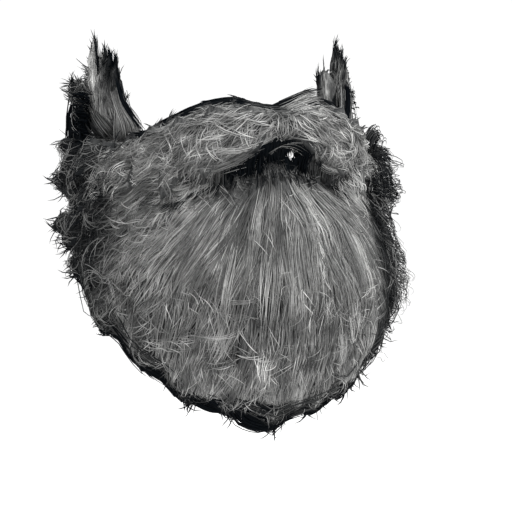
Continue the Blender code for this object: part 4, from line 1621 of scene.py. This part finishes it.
BEARD_SHADE = (
    # The dark beside the long streaks and the hooked wisp
    Wisp(((12, -0.018), (16, -0.042), (18, -0.060), (21, -0.069)), 8, tone=DARK),
    Wisp(((20, 0.000), (25, -0.014), (29, -0.026)), 8, tone=DARK),
    # The dark loops round the point
    *(
        LOOP.along((-14 + k, -0.096), (-10 + k / 2, -0.1095 + 0.003 * k), (-3, -0.1140 + 0.003 * k),
                   (4 - k / 2, -0.1110 + 0.003 * k), (10 - k, -0.099))
        for k in (0, 1, 2, 4)
    ),
    # The curls that stand up behind and beside the sideburns
    *(
        Wisp(
            on_side(side, (76 + 3 * k, 0.034 + 0.003 * (k % 2)), (80 + 3 * k, 0.046),
                    (84 + 2 * k, 0.056 + 0.002 * k), (83 + k, 0.066 + 0.002 * k)),
            24, loose=0.0020, lift=0.001, tone=DARK, width=0.0010,
            radius=(0.083, 0.0805 + 0.001 * k, 0.081, 0.079), rings=5,
        )
        for side in (-1, 1)
        for k in range(5)
    ),
    # The bristles that stick out behind them
    *(
        Wisp(
            on_side(side, (77, 0.034 + 0.005 * k), (84, 0.0355 + 0.005 * k), (91, 0.034 + 0.005 * k)),
            12, loose=0.0016, lift=0.001, tone=DARK, width=0.0008, radius=(0.083, 0.0835, 0.083), rings=4,
        )
        for side in (-1, 1)
        for k in range(8)
    ),
    # The dark curls over the top of the left cheek
    *(
        Wisp(
            ((46 + 3 * k, 0.038), (50 + 3 * k, 0.046), (56 + 3 * k, 0.049 - 0.001 * k), (62 + 3 * k, 0.043)),
            18, loose=0.0022, lift=0.001, tone=(0.0, 0.05), width=0.0008,
            radius=(0.094, 0.095, 0.096, 0.097), rings=5,
        )
        for k in range(4)
    ),
    # The dark loops on both sides of the point
    LOOP.along((-30, -0.086), (-25, -0.096), (-19, -0.102), (-13, -0.103)),
    LOOP.along((8, -0.100), (14, -0.106), (20, -0.102), (25, -0.093)),
    LOOP.along((-44, -0.072), (-38, -0.082), (-30, -0.090)),
    LOOP.along((24, -0.094), (30, -0.086), (36, -0.074), (37, -0.066)),
)
MOUSTACHE_WISPS = (
    # The grey hair along the foot of the right wing
    Wisp(((-27, 0.0225), (-19, 0.0262), (-13, 0.0312), (-8.5, 0.0365), (-4.5, 0.0415)), 44, loose=0.0012,
         tone=(0.06, 0.28), lift=0.0030),
    # The dark tufts that stand up on its top
    TUFT.along((-39, 0.046), (-38, 0.051), (-36, 0.056)),
    TUFT.along((-34, 0.050), (-33, 0.056), (-31, 0.061), count=14),
    # The left wing's top, which rises to the sideburn
    Wisp(((-2, 0.0575), (4, 0.0622), (9, 0.0663), (15, 0.0683)), 44, loose=0.0016, tone=(0.12, 0.6),
         lift=0.0016),
    Wisp(((0, 0.0570), (6, 0.0612), (12, 0.0640), (19, 0.0640)), 40, loose=0.0020, tone=(0.06, 0.4),
         lift=0.0022),
    # The hooked wisp at the end of the right wing
    Wisp(((-50, 0.037), (-49, 0.031), (-51, 0.026), (-47, 0.023), (-42, 0.026), (-37, 0.030)), 10),
    Wisp(((-36, 0.020), (-30, 0.016), (-25, 0.019), (-20, 0.024)), 8, tone=(0.15, 0.4)),
    # Arcs over both wings
    Wisp(((-20, 0.062), (-18, 0.050), (-10, 0.044), (-2, 0.048)), 9, tone=(0.2, 0.5)),
    Wisp(((-22, 0.040), (-13, 0.037), (-6, 0.041), (1, 0.048)), 12, tone=(0.2, 0.55), lift=0.003),
    Wisp(((12, 0.040), (17, 0.034), (23, 0.036)), 8, tone=(0.35, 0.8)),
    # Thin strands that cross the dark of the mouth
    Wisp(((-22, 0.034), (-14, 0.036), (-7, 0.042), (-1, 0.046)), 7, loose=0.0022, tone=(0.10, 0.35),
         lift=0.003),
    Wisp(((-24, 0.024), (-17, 0.029), (-10, 0.033), (-5, 0.033)), 6, loose=0.0020, tone=(0.08, 0.30),
         lift=0.003),
    Wisp(((-4, 0.036), (0, 0.041), (4, 0.041), (8, 0.036)), 5, loose=0.0012, tone=(0.10, 0.35), lift=0.003),
    # The pale streaks beside the mouth and on the left wing
    Wisp(((12, 0.032), (18, 0.026), (25, 0.028)), 8, tone=(0.25, 0.6)),
    Wisp(((3, 0.062), (9, 0.058), (15, 0.056)), 14, loose=0.0016, tone=(0.35, 0.85)),
    Wisp(((28, 0.026), (33, 0.016), (36, 0.006)), 16, loose=0.0014, tone=(0.35, 0.85)),
)


MOUTH_ARCH = 0.010  # how far the hair over the mouth drops by MOUTH_ARCH_ANGLE
MOUTH_ARCH_ANGLE = 24
MOUTH_GAP = range(2, 6)  # the angles where light shows between the hair above and below
# The black hair over the mouth's middle is painted shade of its hollow
MOUTH_PAINTED_SHADE = range(-12, 9)  # those where the hair over the mouth is black
MOUTH_LEAN = 0.12  # how far it leans outwards as it hangs, as a share of its angle


def arched(*path: tuple[float, float]) -> tuple[tuple[float, float], ...]:
    """A path that is given for the mouth's middle, dropped along its arch by its first angle."""
    drop = MOUTH_ARCH * (path[0][0] / MOUTH_ARCH_ANGLE) ** 2
    return tuple((angle, height - drop) for angle, height in path)


def mouth_shade() -> tuple[Wisp, ...]:
    """The dark hair that hangs over the mouth as painted shade of its hollow, but for a small gap left of its
    middle.
    """
    made = []
    for angle in range(-27, 28):
        tone = DARK if angle in MOUTH_PAINTED_SHADE else (0.01, 0.10)
        hair = Wisp((), loose=0.0016, lift=0.0004, tone=tone, width=0.0010, rings=4)
        lean = angle + MOUTH_LEAN * angle
        if angle in MOUTH_GAP:
            above = arched((angle, 0.052), (angle, 0.042), (angle, 0.0340))
            below = arched((angle, 0.0352), (angle, 0.029), (angle, 0.022))
            made.append(hair.along(*above, count=13, loose=0.0008))
            made.append(hair.along(*below, count=10, loose=0.0006))
        else:
            front = arched((angle, 0.052), (lean, 0.041), (lean, 0.0285))
            behind = arched((angle, 0.050), (lean, 0.034), (lean, 0.018))
            made.append(hair.along(*front, count=17))
            made.append(hair.along(*behind, count=16, lift=-0.0040, width=0.0014))
    # The dark roots under the lower lip
    roots = Wisp((), 7, loose=0.0008, lift=0.0028, tone=(0.0, 0.03), width=0.0005, rings=5)
    for step, angle in enumerate(range(-30, 25, 2)):
        top = 0.026 - MOUTH_ARCH * (angle / MOUTH_ARCH_ANGLE) ** 2
        long = 0.005 + 0.005 * (step * 7 % 5) / 5
        made.append(roots.along((angle, top), (angle * 1.08, top - long / 2), (angle * 1.15, top - long)))
    # Dark wisps painted as the shade under both wings
    made.append(Wisp(((8, 0.026), (14, 0.017), (22, 0.011), (31, 0.010)), 30, 0.0020, tone=(0.01, 0.09)))
    made.append(Wisp(((-46, 0.014), (-38, 0.010), (-30, 0.012), (-24, 0.016)), 16, 0.0026, tone=(0.05, 0.16)))
    # The dark line over the left wing's rise
    rise = ((-2, 0.0610), (3, 0.0650), (9, 0.0692), (17, 0.0712))
    made.append(EDGE_LOOK.along(*rise, count=26, loose=0.0007, lift=0.0010))
    return tuple(made)


def chin_fall() -> HairMass:
    """The hair under the lower lip, which fans over the chin."""
    # The lower lip's hair darkened just under the mouth: painted shade of the mouth and the moustache over it
    lip = ToneOrLightPatch(0, 0.029, 0.040, 0.003, 0.7)
    return HairMass(
        Mass.CHIN_FALL,
        "pale_hair",
        BEARD_COMB,
        Shading(0.23, edge_reach=0.004, edge_tone=0.30, tone_and_light_patches=(lip, *TONE_AND_LIGHT_PATCHES)),
        {
            "chin_fall_hair": (
                Coat(Mass.CHIN_FALL, 950, length=(0.026, 0.050), spread=6.0, turn=12.0),
                Coat(Mass.CHIN_FALL, 1800, heights=(0.0, 0.04), length=(0.035, 0.070), rings=6, spread=5.0,
                     turn=10.0, lift=(-0.001, 0.0022, 0.0014), tone=(0.4, 1.5), root_tone=0.45, loose=0.002),
                replace(PELT, mass=Mass.CHIN_FALL, count=500, heights=(0.0, 0.04), length=(0.005, 0.009),
                        width=0.0007, spread=20.0, turn=30.0, tone=(0.1, 0.5), lift=Coat.lift),
                Coat(Mass.CHIN_FALL, 420, lie=Lie.OUTWARD, heights=(0.018, 0.04), edge=(0.0, 0.004),
                     length=(0.004, 0.008), spread=22.0, turn=30.0, tone=(0.1, 1.2), rings=4, overhang=0.006),
                replace(STRAYS, mass=Mass.CHIN_FALL, count=120),
            ),
        },
    )


def moustache() -> HairMass:
    """Both wings of the moustache."""
    return HairMass(
        Mass.MOUSTACHE,
        "moustache_hair",
        MOUSTACHE_COMB,
        Shading(0.22, edge_reach=0.0050, edge_tone=0.04, painted_shade_left=(60.0, 70.0), painted_shade_right=(-60.0, -70.0),
                painted_shade_side=90.0, tone_and_light_patches=TONE_AND_LIGHT_PATCHES),
        {
            "moustache_hair": (
                Coat(Mass.MOUSTACHE, 2900, length=(0.012, 0.028), wisp=8, spread=18.0, turn=28.0,
                     lift=(-0.0004, 0.0014, 0.0010), overhang=0.0006),
                Coat(Mass.MOUSTACHE, 800, length=(0.008, 0.020), wisp=4, spread=34.0, turn=60.0,
                     lift=(0.0002, 0.0022, 0.0016), tone=(0.9, 2.2), gather=0.3, edge=(0.004, 1.0),
                     overhang=0.0006),
            ),
            "moustache_edge": (
                RIM,
                TIPS,
                PELT,
            ),
        },
        drawn=MOUSTACHE_WISPS,
        shade=mouth_shade(),
        outlines=(Outline(-54.0, 52.0, True, 0.0012, EDGE_LOOK),),
    )


def sideburn(mass: Mass) -> HairMass:
    """The strip in front of an ear: a dark fan, a pale spike behind it and dark curls behind that."""
    name = mass.value
    side = 1.0 if mass is Mass.SIDEBURN_LEFT else -1.0
    if mass is Mass.SIDEBURN_RIGHT:
        tufts = (ToneOrLightPatch(-66, 0.084, 0.014, 0.018, 0.08), ToneOrLightPatch(-80, 0.082, 0.007, 0.020, 3.2))
    else:
        tufts = (ToneOrLightPatch(88, 0.080, 0.012, 0.020, 0.10), ToneOrLightPatch(73, 0.082, 0.010, 0.022, 2.8))
    tone_and_light_patches = (*tufts, ToneOrLightPatch(side * 97, 0.062, 0.018, 0.020, 0.10), *TONE_AND_LIGHT_PATCHES)
    behind = tuple(sorted((side * 84.0, side * 105.0)))
    spike = on_side(side, (79, 0.056), (80, 0.074), (81.5, 0.090), (82.5, 0.104))
    widths = (1.0, 1.0, 0.8, 0.1)  # of the spike at those places, as shares of its width at the foot
    edge = Wisp((), 22, loose=0.0004, lift=0.0016, tone=DARK, width=0.0007, rings=6)
    edges = tuple(
        edge.along(*((angle + side * shift * wide, height) for (angle, height), wide in zip(spike, widths)))
        for shift in (-4.5, 4.5)
    )
    # Its foot spreads forwards into the cheek
    foot = Wisp((), 36, loose=0.0013, tone=(0.09, 0.32), lift=0.0006, width=0.0006,
                radius=(0.078, 0.0785, 0.080, 0.081), rings=6)
    fan = tuple(
        foot.along(*on_side(side, (64 - k, 0.072), (60 - 0.6 * k, 0.062), (60 - 2.7 * k, 0.052),
                            (59 - 3.0 * k, 0.041)))
        for k in (0, 1, 2, 2.7, 3.4, 4.1)
    )
    # Dark hair under it closes the hair from behind
    cover = Wisp((), 36, loose=0.0022, lift=0.0006, width=0.0009, radius=(0.0765, 0.0765, 0.078), rings=4)
    under = tuple(
        cover.along(*on_side(side, (78 + shift, 0.060 - drop), (71 + shift, 0.053 - drop),
                             (62 + shift, 0.045)), tone=(0.01, light))
        for shift, drop, light in ((0, 0.0, 0.20), (6, 0.004, 0.05))
    )
    rim = Wisp(on_side(side, (61, 0.078), (57.5, 0.066), (51, 0.055), (45, 0.0450)), 34, loose=0.0008,
               tone=DARK, width=0.0008, radius=(0.0785, 0.079, 0.080, 0.081), rings=6)
    rear = replace(CURLS, mass=mass, count=220, angles=behind, heights=(0.04, 0.080), length=(0.008, 0.014),
                   lift=(0.0, 0.003, 0.005), overhang=0.006, tone=(0.0, 0.4))
    return HairMass(
        mass,
        "dark_hair",
        SIDEBURN_COMB,
        Shading(0.19, edge_reach=0.0025, edge_tone=0.05, painted_shade_side=104.0, tone_and_light_patches=tone_and_light_patches),
        {
            name + "_hair": (
                Coat(mass, 1000, length=(0.010, 0.022), wisp=8, spread=6.0, turn=8.0,
                     lift=(-0.0004, 0.0012, 0.0006), overhang=0.0015),
                replace(LIGHT_CURLS, mass=mass, count=45, angles=behind, heights=(0.04, 0.078),
                        length=(0.008, 0.014)),
            ),
            name + "_fringe": (
                replace(RIM, mass=mass, count=500, edge=(0.0, 0.0020), width=0.0007,
                        lift=Coat.lift),
                replace(TIPS, mass=mass, count=200, length=(0.002, 0.004), lift=(0.0, 0.0008, 0.0008),
                        overhang=0.0012, rings=4),
                replace(PELT, mass=mass, count=1300, length=(0.004, 0.008), spread=8.0, turn=15.0,
                        tone=(0.1, 0.7)),
                replace(PELT, mass=mass, count=420, heights=(0.064, 0.12), length=(0.006, 0.012),
                        width=0.0007, spread=5.0, turn=8.0, tone=(0.6, 1.4), lift=(-0.0003, 0.0005, 0.0003),
                        inward=-1.01),
                rear,
                replace(rear, count=200, lie=Lie.OUTWARD, overhang=0.009),
            ),
        },
        drawn=(Wisp(spike, 44, loose=0.0014, tone=(0.25, 0.85), lift=0.0014, width=0.0005, rings=6), *fan),
        shade=(rim, *under, *edges),
    )


@dataclass(frozen=True)
class Studio:
    """The floor, the light and the camera.

    Attributes:
        floor_height: Where the floor lies, well under the beard, which a head holds up.
        floor_size: The floor's side.
        azimuth: The camera's turn from straight in front.
        elevation: Its height above the horizon.
        aim: What it looks at.
        view_width: How much it sees across, at the aim.
        lens: Its lens, in millimetres.
        sensor: Its sensor's width, in millimetres.
        sky: The brightness all round.
    """

    floor_height: float = -0.30
    floor_size: float = 8.0
    azimuth: float = -20.0
    elevation: float = 3.0
    aim: tuple[float, float, float] = (-0.0026, 0.0213, -0.0200)
    view_width: float = 0.2816
    lens: float = 135.0
    sensor: float = 36.0
    sky: float = 1.04

    def make(self) -> None:
        """Builds the floor, the world, the lights and the camera."""
        self._floor()
        self._world()
        self._light("key", (0.55, -1.1, 1.0), size=0.9, power=26.0)
        self._light("fill", (-1.1, -0.8, 0.4), size=1.2, power=7.0)
        self._light("top", (0.0, 0.3, 1.3), size=1.0, power=12.0)
        self._camera()

    def _floor(self) -> None:
        """A plain pale floor."""
        bpy.ops.mesh.primitive_grid_add(x_subdivisions=8, y_subdivisions=8, size=self.floor_size)
        floor = bpy.context.active_object
        floor.name = "floor"
        floor.data.transform(Matrix.Translation((0.0, 0.0, self.floor_height)))
        made, _, shader = new_material("pale_floor")
        shader.inputs["Base Color"].default_value = (0.96, 0.96, 0.96, 1.0)
        shader.inputs["Roughness"].default_value = 0.9
        dress(floor, made)

    def _world(self) -> None:
        """An even pale sky."""
        world = bpy.data.worlds.new("studio")
        world.use_nodes = True
        back = world.node_tree.nodes["Background"]
        back.inputs["Color"].default_value = (1.0, 1.0, 1.0, 1.0)
        back.inputs["Strength"].default_value = self.sky
        bpy.context.scene.world = world

    def _light(self, name: str, spot: tuple[float, float, float], size: float, power: float) -> None:
        """A soft square light that faces the beard."""
        light = bpy.data.lights.new(name, "AREA")
        light.size = size
        light.energy = power
        lamp = bpy.data.objects.new(name, light)
        lamp.location = spot
        lamp.rotation_euler = (Vector(spot) - Vector(self.aim)).to_track_quat("Z", "Y").to_euler()
        bpy.context.scene.collection.objects.link(lamp)

    def _camera(self) -> None:
        """The camera, at the photograph's angle."""
        data = bpy.data.cameras.new("camera")
        data.lens = self.lens
        data.sensor_width = self.sensor
        turn, rise = math.radians(self.azimuth), math.radians(self.elevation)
        back = Vector((math.sin(turn) * math.cos(rise), -math.cos(turn) * math.cos(rise), math.sin(rise)))
        camera = bpy.data.objects.new("camera", data)
        camera.location = Vector(self.aim) + back * (self.view_width * self.lens / self.sensor)
        camera.rotation_euler = back.to_track_quat("Z", "Y").to_euler()
        data.clip_start, data.clip_end = 0.05, 50.0
        bpy.context.scene.collection.objects.link(camera)
        bpy.context.scene.camera = camera


def main() -> None:
    """Builds the backing, the hair masses and the studio, in that order."""
    logging.basicConfig(level=logging.INFO, format="%(name)s: %(message)s")
    chart = Chart()
    dresser = Dresser(chart)
    tones = hair_tone_group()
    strands = HairFinish("strands").make(tones)

    backing = Backing(chart).make(ClothFinish().make())
    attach(backing, BODY)
    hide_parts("backing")
    report(backing)

    masses = (beard(), chin_fall(), moustache(), sideburn(Mass.SIDEBURN_RIGHT), sideburn(Mass.SIDEBURN_LEFT))
    for mass in masses:
        mass.make(dresser, strands, tones)

    Studio().make()
    bpy.context.scene.view_settings.view_transform = "Standard"


if __name__ == "__main__":
    main()
